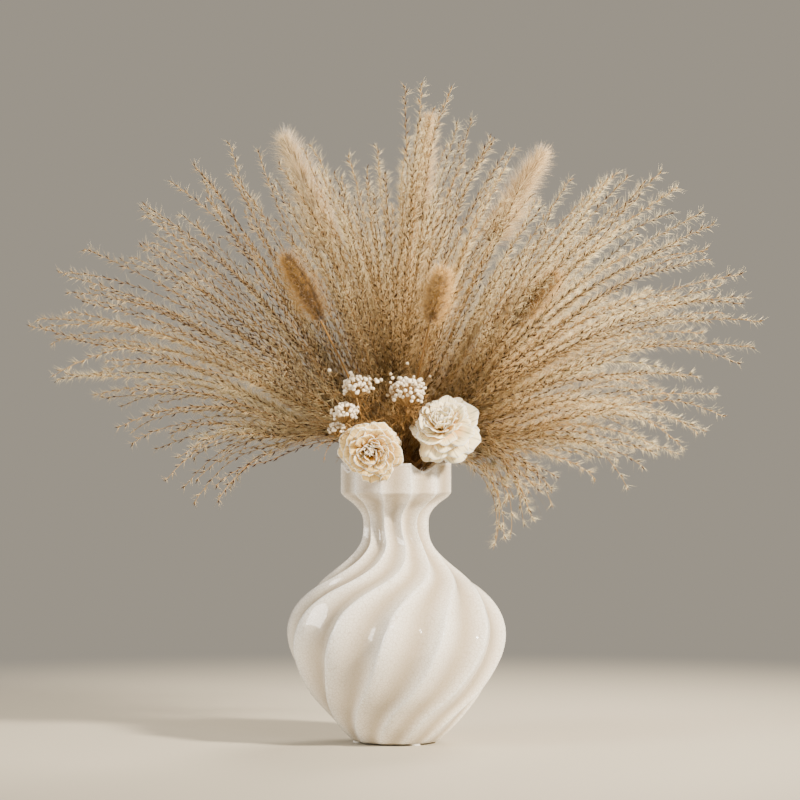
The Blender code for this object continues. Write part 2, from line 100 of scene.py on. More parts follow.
# The camera sees the wall's own tone, and everything else is lit by a share of it
world = bpy.data.worlds.new("studio")
world.use_nodes = True
seen = world.node_tree.nodes["Background"]
seen.inputs["Color"].default_value = linearColour(backdrop["wall"])
around = addNode(world.node_tree, "ShaderNodeBackground", values={
    "Color": linearColour(backdrop["wall"]), "Strength": backdrop["ambient"]})
ray = addNode(world.node_tree, "ShaderNodeLightPath")
room = addNode(world.node_tree, "ShaderNodeMixShader", links={
    0: ray.outputs["Is Camera Ray"], 1: around.outputs["Background"],
    2: seen.outputs["Background"]})
world.node_tree.links.new(room.outputs["Shader"], world.node_tree.nodes["World Output"].inputs[0])
bpy.context.scene.world = world


# A flat disc of floor that turns from pale to the wall's own tone with distance. Matt paint: it
# takes soft shadows and mirrors nothing
def makeFloor():
    turn = np.linspace(0, 2 * math.pi, backdrop["sides"], endpoint=False)
    ring = np.stack([np.cos(turn), np.sin(turn), 0 * turn], 1) * backdrop["radius"]
    mesh = bpy.data.meshes.new("floor")
    mesh.from_pydata(ring.tolist(), [], [list(range(backdrop["sides"]))])
    floor = bpy.data.objects.new("floor", mesh)
    bpy.context.scene.collection.objects.link(floor)
    material, tree, shader = newMaterial("matte painted floor", {"Roughness": 0.6})
    shader.inputs["Base Color"].default_value = linearColour(backdrop["floor"])
    place = addNode(tree, "ShaderNodeTexCoord")
    length = addNode(tree, "ShaderNodeVectorMath", {"operation": "LENGTH"},
                     links={0: place.outputs["Object"]})
    far = addNode(tree, "ShaderNodeMapRange", {"interpolation_type": "SMOOTHSTEP"},
                  {"From Min": backdrop["fadeFrom"], "From Max": backdrop["fadeTo"]},
                  {"Value": length.outputs["Value"]})
    glow = addNode(tree, "ShaderNodeEmission", values={"Color": linearColour(backdrop["wall"])})
    blend = addNode(tree, "ShaderNodeMixShader", links={0: far.outputs["Result"],
                    1: shader.outputs["BSDF"], 2: glow.outputs["Emission"]})
    tree.links.new(blend.outputs["Shader"], tree.nodes["Material Output"].inputs["Surface"])
    mesh.materials.append(material)


studioLights = {  # place, size in metres, power in watts, colour, whether its reflection shows
    "key": ((2.0, -1.6, 1.7), 0.35, 330, "#fff0d8", False),
    "fill": ((-2.3, -1.3, 1.1), 1.1, 69, "#fff8ee", True),
    "back": ((0.9, 1.9, 1.7), 1.2, 125, "#fff0dc", False),
    "lampNear": ((0.9, -2.45, 1.25), 0.17, 9, "#ffffff", True),
    "lampFar": ((1.35, -2.3, 1.25), 0.17, 9, "#ffffff", True),
}
aimedAt = 0.3  # metres up, the middle of the arrangement


# Square lamps, each turned to face the middle of the arrangement
def makeLights():
    for name, (place, size, power, colour, shines) in studioLights.items():
        light = bpy.data.lights.new(name, "AREA")
        light.size = size
        light.energy = power
        light.color = linearColour(colour)[:3]
        lamp = bpy.data.objects.new(name, light)
        lamp.location = place
        lamp.visible_glossy = shines
        away = lamp.location.copy()
        away.z -= aimedAt
        lamp.rotation_euler = away.to_track_quat("Z", "Y").to_euler()
        bpy.context.scene.collection.objects.link(lamp)


makeFloor()
makeLights()
print("camera, floor and lights ready")


# Shapes worked out as whole arrays. Each maker returns points, triangles and a map of u and v

hairOnMap = 0.004  # half the width that a hair, husk or tube takes on the map


# 0 below low, 1 above high, and between them three times the share's square less twice its cube
def smoothShare(low, high, value):
    t = np.clip((value - low) / (high - low), 0, 1)
    return t * t * (3 - 2 * t)


# Every row divided by its own length
def unit(rows):
    return rows / np.maximum(np.linalg.norm(rows, axis=-1, keepdims=True), 1e-9)


# Two directions across each tangent: the first square to it and to the depth direction, or to the
# sideways one where it runs along the depth, the second square to tangent and first
def acrossOf(tangent):
    level = np.where(np.abs(tangent[..., 1:2]) > 0.95, [1.0, 0, 0], [0, 1.0, 0])
    first = unit(np.cross(tangent, level))
    return first, np.cross(tangent, first)


# The direction at an angle from the first towards the second: first times its cosine plus second
# times its sine
def towards(first, second, angle):
    return first * np.cos(angle)[..., None] + second * np.sin(angle)[..., None]


# An arc from start to end, drawn towards a middle point: a parabola over the share t
def arcOver(start, middle, end, t):
    return start * (1 - t) ** 2 + middle * 2 * t * (1 - t) + end * t**2


# A smooth curve through given values: a cubic between each two, whose slope at a value is that of
# the parabola through it and its two neighbours, and level at and above a given place
def throughValues(x, xs, ys, levelFrom=1e9):
    xs, ys = np.asarray(xs, float), np.asarray(ys, float)
    slope = np.where(xs >= levelFrom, 0, np.gradient(ys, xs))
    i = np.clip(np.searchsorted(xs, x) - 1, 0, len(xs) - 2)
    wide = xs[i + 1] - xs[i]
    t = np.clip((x - xs[i]) / wide, 0, 1)
    return ((2 * t**3 - 3 * t**2 + 1) * ys[i] + (t**3 - 2 * t**2 + t) * wide * slope[i]
            + (3 * t**2 - 2 * t**3) * ys[i + 1] + (t**3 - t**2) * wide * slope[i + 1])


# Triangles over a grid of rows and columns, closed round the columns or left open
def gridTriangles(rows, columns, around=True):
    across = columns if around else columns - 1
    row, column = np.meshgrid(np.arange(rows - 1), np.arange(across), indexing="ij")
    a = row * columns + column
    b = row * columns + (column + 1) % columns
    c, d = b + columns, a + columns
    return np.concatenate([np.stack([a, b, c], -1).reshape(-1, 3),
                           np.stack([a, c, d], -1).reshape(-1, 3)])


# The same triangles for many equal shapes, each numbered on from the last
def repeated(triangles, count, points):
    return (np.arange(count)[:, None, None] * points + triangles[None]).reshape(-1, 3)


# Tubes: round each path a ring of sides at its radius, first times cosine plus second times sine
def tubes(paths, radii, sides, u):
    count, steps = paths.shape[:2]
    first, second = acrossOf(unit(np.gradient(paths, axis=1)))
    turn = 2 * math.pi * np.arange(sides) / sides
    out = towards(first[:, :, None], second[:, :, None], turn)
    points = paths[:, :, None] + out * radii[:, :, None, None]
    ends = np.array([[0, k + 1, k] for k in range(1, sides - 1)])
    last = (steps - 1) * sides
    faces = np.concatenate([gridTriangles(steps, sides), ends, last + ends[:, [0, 2, 1]]])
    v = np.linspace(0, 1, steps)[None, :, None] + np.zeros((count, 1, sides))
    around = u[:, None, None] + hairOnMap * np.cos(turn)[None, None] + np.zeros((1, steps, 1))
    mapped = np.stack([around, v], -1)
    return points.reshape(-1, 3), repeated(faces, count, steps * sides), mapped.reshape(-1, 2)


# Spikes: a three-cornered foot round each base, and its tip
def spikes(base, tip, width, u):
    first, second = acrossOf(unit(tip - base))
    turn = 2 * math.pi * np.arange(3) / 3
    out = towards(first[:, None], second[:, None], turn)
    foot = base[:, None] + width[:, None, None] * out
    points = np.concatenate([foot, tip[:, None]], 1)
    faces = np.array([[0, 1, 3], [1, 2, 3], [2, 0, 3], [0, 2, 1]])
    across = hairOnMap * np.array([-1, 0, 1, 0])
    along = np.array([0.0, 0.03, 0.0, 1.0])
    mapped = np.stack([u[:, None] + across, along[None] + 0 * u[:, None]], -1)
    return points.reshape(-1, 3), repeated(faces, len(base), 4), mapped.reshape(-1, 2)


# Husks: a foot, three corners round a waist two fifths of the way up, and a tip
def husks(base, tip, width, u):
    first, second = acrossOf(unit(tip - base))
    turn = 2 * math.pi * np.arange(3) / 3
    out = towards(first[:, None], second[:, None], turn)
    waist = (base + 0.4 * (tip - base))[:, None] + width[:, None, None] * out
    points = np.concatenate([base[:, None], waist, tip[:, None]], 1)
    faces = []
    for k in range(3):
        n = (k + 1) % 3
        faces += [[0, 1 + n, 1 + k], [1 + k, 1 + n, 4]]
    across = hairOnMap * np.array([0, -1, 0.5, 1, 0])
    along = np.array([0, 0.4, 0.4, 0.4, 1.0])
    mapped = np.stack([u[:, None] + across, along[None] + 0 * u[:, None]], -1)
    return points.reshape(-1, 3), repeated(np.array(faces), len(base), 5), mapped.reshape(-1, 2)


# Thin closed sheets: a grid of points pushed half its thickness to each side of its own normal. On
# the map v is 0 at the root and 1 along every free edge
def closedSheets(grids, thickness, u):
    count, rows, columns = grids.shape[:3]
    normal = unit(np.cross(np.gradient(grids, axis=1), np.gradient(grids, axis=2)))
    half = 0.5 * thickness * normal
    points = np.concatenate([grids + half, grids - half], 1).reshape(count, -1, 3)
    front = gridTriangles(rows, columns, around=False)
    under = rows * columns
    r, c = np.arange(rows), np.arange(columns)
    edge = np.concatenate([c[:-1], r[:-1] * columns + columns - 1,
                           under - 1 - c[:-1], (rows - 1 - r[:-1]) * columns])
    following = np.roll(edge, -1)
    rim = np.concatenate([np.stack([edge, edge + under, following + under], 1),
                          np.stack([edge, following + under, following], 1)])
    faces = np.concatenate([front[:, ::-1], front + under, rim[:, ::-1]])
    across, along = np.meshgrid(np.linspace(0, 1, columns), np.linspace(0, 1, rows))
    sides = np.abs(2 * across - 1) ** 6 * smoothShare(0.2, 0.6, along)
    one = np.stack([across, along**1.5 + (1 - along**1.5) * sides], -1).reshape(-1, 2)
    mapped = np.concatenate([one, one])[None] + np.zeros((count, 1, 1))
    mapped[..., 0] = u[:, None] + 0.1 * (mapped[..., 0] - 0.5)
    return points.reshape(-1, 3), repeated(faces, count, 2 * under), mapped.reshape(-1, 2)


# Balls: one small sphere of triangles set round each middle at its radius, dented by the product
# of a sine along each axis
def balls(middles, radii, level, u, dent=0.0):
    shape = bmesh.new()
    bmesh.ops.create_icosphere(shape, subdivisions=level, radius=1)
    one = np.array([vertex.co[:] for vertex in shape.verts])
    faces = np.array([[vertex.index for vertex in face.verts] for face in shape.faces])
    shape.free()
    phase = 40 * u[:, None, None]
    wave = 1 + dent * np.sin(5 * one[None] + phase).prod(-1, keepdims=True) * 3
    points = middles[:, None] + radii[:, None, None] * one[None] * wave
    mapped = np.stack([u[:, None] + 0.03 * one[None, :, 0], 0.5 + 0.5 * one[None, :, 2]
                       + 0 * u[:, None]], -1)
    return points.reshape(-1, 3), repeated(faces, len(middles), len(one)), mapped.reshape(-1, 2)


# Where material i of n keeps its u on a piece's map, so that no two materials share a spot there
def bandOf(i, n):
    return (i + 0.02) / n, (i + 0.98) / n


# One mesh from several lots of points, each lot with its own material
def buildPiece(name, lots, materials, nodes):
    points = np.concatenate([lot[0] for lot in lots])
    mapped = np.concatenate([lot[2] for lot in lots])
    band = np.concatenate([np.full(len(lot[0]), lot[3]) for lot in lots])
    low, high = bandOf(band, len(materials))
    mapped[:, 0] = low + (high - low) * np.clip(mapped[:, 0], 0, 1)
    first = np.cumsum([0] + [len(lot[0]) for lot in lots[:-1]])
    faces = np.concatenate([lot[1] + start for lot, start in zip(lots, first)]).astype(np.int32)
    slots = np.concatenate([np.full(len(lot[1]), lot[3]) for lot in lots]).astype(np.int32)
    mesh = bpy.data.meshes.new(name)
    mesh.vertices.add(len(points))
    mesh.vertices.foreach_set("co", points.astype(np.float32).ravel())
    mesh.loops.add(3 * len(faces))
    mesh.loops.foreach_set("vertex_index", faces.ravel())
    mesh.polygons.add(len(faces))
    mesh.polygons.foreach_set("loop_start", np.arange(0, 3 * len(faces), 3, dtype=np.int32))
    mesh.update(calc_edges=True)
    mesh.polygons.foreach_set("material_index", slots)
    mesh.polygons.foreach_set("use_smooth", np.ones(len(faces), bool))
    layer = mesh.uv_layers.new(name="OFBake")
    layer.data.foreach_set("uv", mapped[faces.ravel()].astype(np.float32).ravel())
    for material in materials:
        mesh.materials.append(material)
    piece = bpy.data.objects.new(name, mesh)
    bpy.context.scene.collection.objects.link(piece)
    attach(piece, "root")
    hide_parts(*nodes)
    print(name, len(faces), "triangles")
    return piece


# Vase

vaseShape = {
    # height, radius at the ridges, depth of the flutes in mm, turn of the ridges in degrees
    "rings": ((2, 39, 0.6, -112), (7, 45, 1.6, -108), (16, 54, 3.2, -102), (29, 65, 5.2, -93.5),
              (46, 79, 7.2, -82), (66, 91, 8.8, -74), (87, 99, 10, -69), (107, 99, 10.5, -64.5),
              (124, 91.5, 10.5, -60), (140, 77, 10, -49), (152, 62, 8.8, -34),
              (164, 47.5, 7, -21.5), (179, 34.5, 5.4, -15), (196, 30, 5.2, -20.5),
              (208, 32, 5.8, -20), (218, 41, 8, -15.5), (224, 49, 6, -15),
              (228, 51.7, 1.8, -15), (254.5, 51.7, 1.8, -15)),
    # height and radius of the hollow inside, mm
    "inner": ((8, 38), (40, 66), (95, 84), (140, 60), (172, 30), (196, 22), (214, 25), (229, 42),
              (254.5, 45.5)),
    # where a flute's valley lies between its ridges, as a share, on the body and on the neck
    "flutes": 12, "bodyValley": 0.62, "neckValley": 0.48, "neckFrom": 150, "neckTo": 176,
    # heights, the rim's half round and the depth of its dips, mm, and the flutes that are dipped
    "foot": 2, "floor": 8, "collar": 228, "rim": 254.5, "lip": 1.5, "rimDip": 7.5,
    "dipped": (1, 4, 7, 10),
    # grid: columns to a flute, then rows up to the waist, up to the upright collar, to the rim
    "columnsEach": 13, "bodyRows": 84, "waist": 206, "flareRows": 32, "upright": 230, "rimRows": 8,
    "innerRows": 12,
}


# Outside: radius less depth times the sine of a leaning share between ridges, turned with height.
# Inside: a plain round hollow. The rim is a half round between them, dipped in every third flute
def makeVase(material):
    s = vaseShape
    height, radius, depth, turn = np.array(s["rings"], float).T
    even = np.linspace(0, 1, s["columnsEach"], endpoint=False)
    share = np.tile(even - 0.09 * np.sin(2 * math.pi * even), s["flutes"])
    flute = np.repeat(np.arange(s["flutes"]), s["columnsEach"])
    columns = len(share)

    rim, collar, lip = s["rim"], s["collar"], s["lip"]
    h = np.concatenate([np.linspace(s["foot"], s["waist"], s["bodyRows"], endpoint=False),
                        np.linspace(s["waist"], s["upright"], s["flareRows"], endpoint=False),
                        np.linspace(s["upright"], rim - 2 * lip, s["rimRows"])])
    neck = smoothShare(s["neckFrom"], s["neckTo"], h)
    valley = s["bodyValley"] + (s["neckValley"] - s["bodyValley"]) * neck
    lean = (math.log(0.5) / np.log(valley))[:, None]
    hollow = np.sin(math.pi * share[None] ** lean)
    paintedShade = throughValues(h, height, depth, collar)[:, None] * hollow
    out = throughValues(h, height, radius, collar)[:, None] - paintedShade
    angle = np.radians(throughValues(h, height, turn, collar)[:, None]
                       + 360 / s["flutes"] * (flute + share)[None])
    dip = s["rimDip"] * (1 - np.abs(2 * share - 1) ** 1.4) * np.isin(flute, s["dipped"])
    lift = -dip[None] * smoothShare(collar, rim, h)[:, None]
    rows = [(out, angle, h[:, None] + lift)]

    arc = np.linspace(0.0, 1, 9)[:, None] * math.pi  # the rim's rounding, flat-topped
    edge, inner = out[-1][None], s["inner"][-1][1]
    middle, half = (edge + inner) / 2, (edge - inner) / 2
    rows.append((middle + half * np.sign(np.cos(arc)) * np.abs(np.cos(arc)) ** 0.5,
                 angle[-1:] + 0 * arc, rim - dip[None] - lip + lip * np.sin(arc) ** 0.5))
    hIn = np.linspace(rim - 2 * lip, s["floor"], s["innerRows"])[:, None]
    inHeight, inRadius = np.array(s["inner"], float).T
    rIn = throughValues(hIn[:, 0], inHeight, inRadius)[:, None]
    rows.append((rIn + 0 * share[None], angle[-1:] + 0 * hIn,
                 hIn - dip[None] * smoothShare(collar, rim, hIn)))
    r = np.concatenate([row[0] + 0 * share[None] for row in rows])
    a = np.concatenate([row[1] for row in rows])
    z = np.concatenate([row[2] for row in rows])
    points = np.stack([r * np.sin(a), -r * np.cos(a), z], -1).reshape(-1, 3) * mm
    faces = gridTriangles(len(r), columns)
    last = len(points) - columns
    k = np.arange(columns)
    n = (k + 1) % columns
    middles = np.array([[0, 0, s["foot"] * mm], [0, 0, s["floor"] * mm]])
    foot = np.stack([k * 0 + len(points), n, k], 1)
    floor = np.stack([k * 0 + len(points) + 1, last + k, last + n], 1)
    hollows = np.concatenate([hollow.ravel(), np.zeros(len(points) - hollow.size + 2)])
    mapped = np.stack([hollows, hollows * 0], 1)
    lot = (np.concatenate([points, middles]), np.concatenate([faces, foot, floor]), mapped, 0)
    piece = buildPiece("crackled_vase", [lot], [material], ["vase"])
    # how deep in its flute each point lies, which sets the glaze's painted shade and highlight
    piece.data.attributes.new("hollow", "FLOAT", "POINT").data.foreach_set(
        "value", hollows.astype(np.float32))
    piece.data.uv_layers.remove(piece.data.uv_layers["OFBake"])


# Stoneware under a clear glossy glaze that has crazed: a fine net of hairline cracks, faintly warm,
# under a wet shine. Its colour is painted white along the ridges, a painted highlight, and darker
# and warmer down in the flutes, painted shade
def crackleGlaze():
    material, tree, shader = newMaterial("crackle-glazed stoneware", {
        "Roughness": 0.25, "IOR": 1.5, "Coat Weight": 1.0, "Coat Roughness": 0.03})
    place = addNode(tree, "ShaderNodeTexCoord").outputs["Object"]
    # cracks wander by up to 1.6 mm with waves of about 6 mm
    bend = addNode(tree, "ShaderNodeTexNoise", values={"Scale": 1 / (6.25 * mm), "Detail": 2},
                   links={"Vector": place})
    moved = addNode(tree, "ShaderNodeVectorMath", {"operation": "MULTIPLY_ADD"},
                    {1: (1.6 * mm,) * 3}, {0: bend.outputs["Color"], 2: place})
    # cracks enclose cells about 3.2 mm across, with finer ones of 1.6 mm inside them; the lines are
    # drawn about 0.3 mm wide, coarser than real crazing, so that they show
    wide = addNode(tree, "ShaderNodeTexVoronoi", {"feature": "DISTANCE_TO_EDGE"},
                   {"Scale": 1 / (3.2 * mm)}, {"Vector": moved.outputs["Vector"]})
    fine = addNode(tree, "ShaderNodeTexVoronoi", {"feature": "DISTANCE_TO_EDGE"},
                   {"Scale": 1 / (1.6 * mm)}, {"Vector": moved.outputs["Vector"]})
    wideLine = addNode(tree, "ShaderNodeMapRange", values={
        "From Min": 0.01, "From Max": 0.1, "To Min": 1, "To Max": 0},
        links={"Value": wide.outputs["Distance"]})
    fineLine = addNode(tree, "ShaderNodeMapRange", values={
        "From Min": 0.0, "From Max": 0.14, "To Min": 0.5, "To Max": 0},
        links={"Value": fine.outputs["Distance"]})
    crack = addNode(tree, "ShaderNodeMath", {"operation": "MAXIMUM"},
                    links={0: wideLine.outputs["Result"], 1: fineLine.outputs["Result"]})
    # painted shade and painted highlight: the colour runs from white on the ridges to a dark warm
    # tan deep in the flutes
    fluteShadeMask = addNode(tree, "ShaderNodeAttribute", {"attribute_name": "hollow"})
    glazeShadeAndHighlight = addNode(tree, "ShaderNodeValToRGB", links={"Fac": fluteShadeMask.outputs["Fac"]},
                    stops=[(0, "#fffefa"), (0.12, "#fdf9f1"), (0.5, "#eee6d8"), (1, "#c3b59e")])
    faint = addNode(tree, "ShaderNodeMath", {"operation": "MULTIPLY"}, {1: 0.5},
                    {0: crack.outputs["Value"]})
    colour = addNode(tree, "ShaderNodeMix", {"data_type": "RGBA"},
                     {"B": linearColour("#ac9a7f")},
                     {"Factor": faint.outputs["Value"], "A": glazeShadeAndHighlight.outputs["Color"]})
    bump = addNode(tree, "ShaderNodeBump", values={"Strength": 0.5, "Distance": 0.2 * mm},
                   links={"Height": crack.outputs["Value"]})
    bump.invert = True
    tree.links.new(colour.outputs["Result"], shader.inputs["Base Color"])
    tree.links.new(bump.outputs["Normal"], shader.inputs["Normal"])
    return material


makeVase(crackleGlaze())


# The fountain that every stem follows

fountainShape = {
    # heights of the mouth and of the stems' feet, and how far apart a degree sets two roots
    "mouth": 0.236, "foot": 8.3 * mm, "sidePitch": 0.155 * mm, "depthPitch": 0.29 * mm,
    # shares of its angles that a stem has at the mouth and once opened, and where it has opened
    "sideAtMouth": 0.25, "sideOpened": 0.87, "sideOpensBy": 0.110,
    "depthAtMouth": 0.15, "depthOpensFrom": 0.040, "depthOpensBy": 0.190, "droop": 0.22,
    # reach of the fan: degrees from upright, mm
    "outline": ((-94, 173), (-81, 214), (-73, 276), (-67, 354), (-58, 355), (-40, 337), (-26, 342),
                (-14, 318), (-4, 290), (3, 370), (12, 337), (23, 325), (30, 318), (40, 371),
                (51, 365), (67, 354), (76, 296), (85, 228), (92, 165), (107, 116), (130, 92)),
}


# How far a stem with this side angle goes to meet the fan's outline, arched over
def fullReach(side):
    f = fountainShape
    turns, reaches = zip(*f["outline"])
    return np.interp(side * (f["sideOpened"] + f["droop"]), turns, reaches) * mm


# Share of its side angle a stem has turned through: an S curve as it opens above the mouth, then an
# arch over with the square of the share of its full reach
def turned(side, reach):
    f = fountainShape
    opened = f["sideAtMouth"] + (f["sideOpened"] - f["sideAtMouth"]) * smoothShare(
        0, f["sideOpensBy"], reach)
    return opened + f["droop"] * (reach / fullReach(side)) ** 2


# A stem's point: straight up the neck, then from its root along a ray that turns as it goes out
def fountainPoint(side, depth, reach):
    f = fountainShape
    side, depth, reach = np.broadcast_arrays(side * 1.0, depth * 1.0, reach * 1.0)
    beyond = np.maximum(reach, 0)
    across = np.radians(side * turned(side, beyond))
    paintedShade = f["depthAtMouth"] + (1 - f["depthAtMouth"]) * smoothShare(
        f["depthOpensFrom"], f["depthOpensBy"], beyond)
    away = np.radians(depth * paintedShade)
    ray = np.stack([np.sin(across) * np.cos(away), np.sin(away), np.cos(across) * np.cos(away)], -1)
    root = np.stack([f["sidePitch"] * side, f["depthPitch"] * depth,
                     f["mouth"] + np.minimum(reach, 0)], -1)
    return root + ray * beyond[..., None]


# Bunny tails and reed plumes: side and depth angles, reach of the head's middle, length, width
# and radius of the stem, mm
softHeads = {
    "bunny_tail_left": (-24.7, -36, 232, 76, 32, 0.9),
    "bunny_tail_middle": (11.8, -38, 212, 56, 34, 0.9),
    "bunny_tail_right": (37.9, -14, 208, 60, 34, 0.9),
    "reed_plume_left": (-16, 13, 286, 120, 40, 1.5),
    "reed_plume_middle": (4.7, 12, 298, 104, 26, 1.5),
    "reed_plume_right": (21.2, 14, 294, 104, 34, 1.5),
}


# room kept clear round them, mm: past a head's ends, beside its stem, beside its widest part, and
# the least reach at which it is worked out
softRoom = {"ends": 16, "stem": 2.2, "side": 4, "from": 20}


# Angles bent clear of each soft head: the distance to it becomes the root of its square plus the
# square of the room that the head needs at this reach, or of a share of that room
def partAround(side, depth, reach, room=1.0):
    for guestSide, guestDepth, middle, length, width, stem in softHeads.values():
        beyond = np.abs(reach / mm - middle) / (0.5 * length + softRoom["ends"])
        swell = np.sqrt(np.maximum(0, 1 - beyond))
        halfWidth = ((stem + softRoom["stem"]) * room**3
                     + (0.5 * width + softRoom["side"]) * swell * room) * mm
        clear = np.degrees(halfWidth / np.maximum(reach, softRoom["from"] * mm))
        awaySide, awayDepth = side - guestSide, depth - guestDepth
        size = np.maximum(np.hypot(awaySide, awayDepth), 0.01)
        grow = np.sqrt(size**2 + clear**2) / size
        side, depth = guestSide + awaySide * grow, guestDepth + awayDepth * grow
    return side, depth


# Dried plant stuff, faded and matt: on its map it goes from dull to silvery across, from one stem
# or hair to the next, and from root to tip along each
def strawMaterial(name, band, dull, silvery, root, tip, rootShare, tipShare, roughness, sheen):
    material, tree, shader = newMaterial(name, {"Roughness": roughness, "Sheen Weight": sheen,
                                               "Specular IOR Level": 0.35})
    mapped = addNode(tree, "ShaderNodeUVMap", {"uv_map": "OFBake"})
    parts = addNode(tree, "ShaderNodeSeparateXYZ", links={"Vector": mapped.outputs["UV"]})
    across = addNode(tree, "ShaderNodeMapRange", values={"From Min": band[0], "From Max": band[1]},
                     links={"Value": parts.outputs["X"]})
    tone = addNode(tree, "ShaderNodeValToRGB", links={"Fac": across.outputs["Result"]},
                   stops=[(0, dull), (1, silvery)])
    low = addNode(tree, "ShaderNodeMapRange",
                  values={"From Max": 0.35, "To Min": rootShare, "To Max": 0},
                  links={"Value": parts.outputs["Y"]})
    rooted = addNode(tree, "ShaderNodeMix", {"data_type": "RGBA"}, {"B": linearColour(root)},
                     {"Factor": low.outputs["Result"], "A": tone.outputs["Color"]})
    high = addNode(tree, "ShaderNodeMapRange", values={"From Min": 0.45, "To Max": tipShare},
                   links={"Value": parts.outputs["Y"]})
    tipped = addNode(tree, "ShaderNodeMix", {"data_type": "RGBA"}, {"B": linearColour(tip)},
                     {"Factor": high.outputs["Result"], "A": rooted.outputs["Result"]})
    place = addNode(tree, "ShaderNodeTexCoord").outputs["Object"]
    # blotches about 12 mm wide, as dried stems fade unevenly
    blotch = addNode(tree, "ShaderNodeTexNoise", values={"Scale": 1 / (12 * mm), "Detail": 2},
                     links={"Vector": place})
    shade = addNode(tree, "ShaderNodeMapRange", values={
        "From Min": 0.3, "From Max": 0.7, "To Min": 0.82, "To Max": 1.08},
        links={"Value": blotch.outputs["Fac"]})
    colour = addNode(tree, "ShaderNodeMix", {"data_type": "RGBA", "blend_type": "MULTIPLY"},
                     {"Factor": 1}, {"A": tipped.outputs["Result"], "B": shade.outputs["Result"]})
    tree.links.new(colour.outputs["Result"], shader.inputs["Base Color"])
    return material


# Silver grass

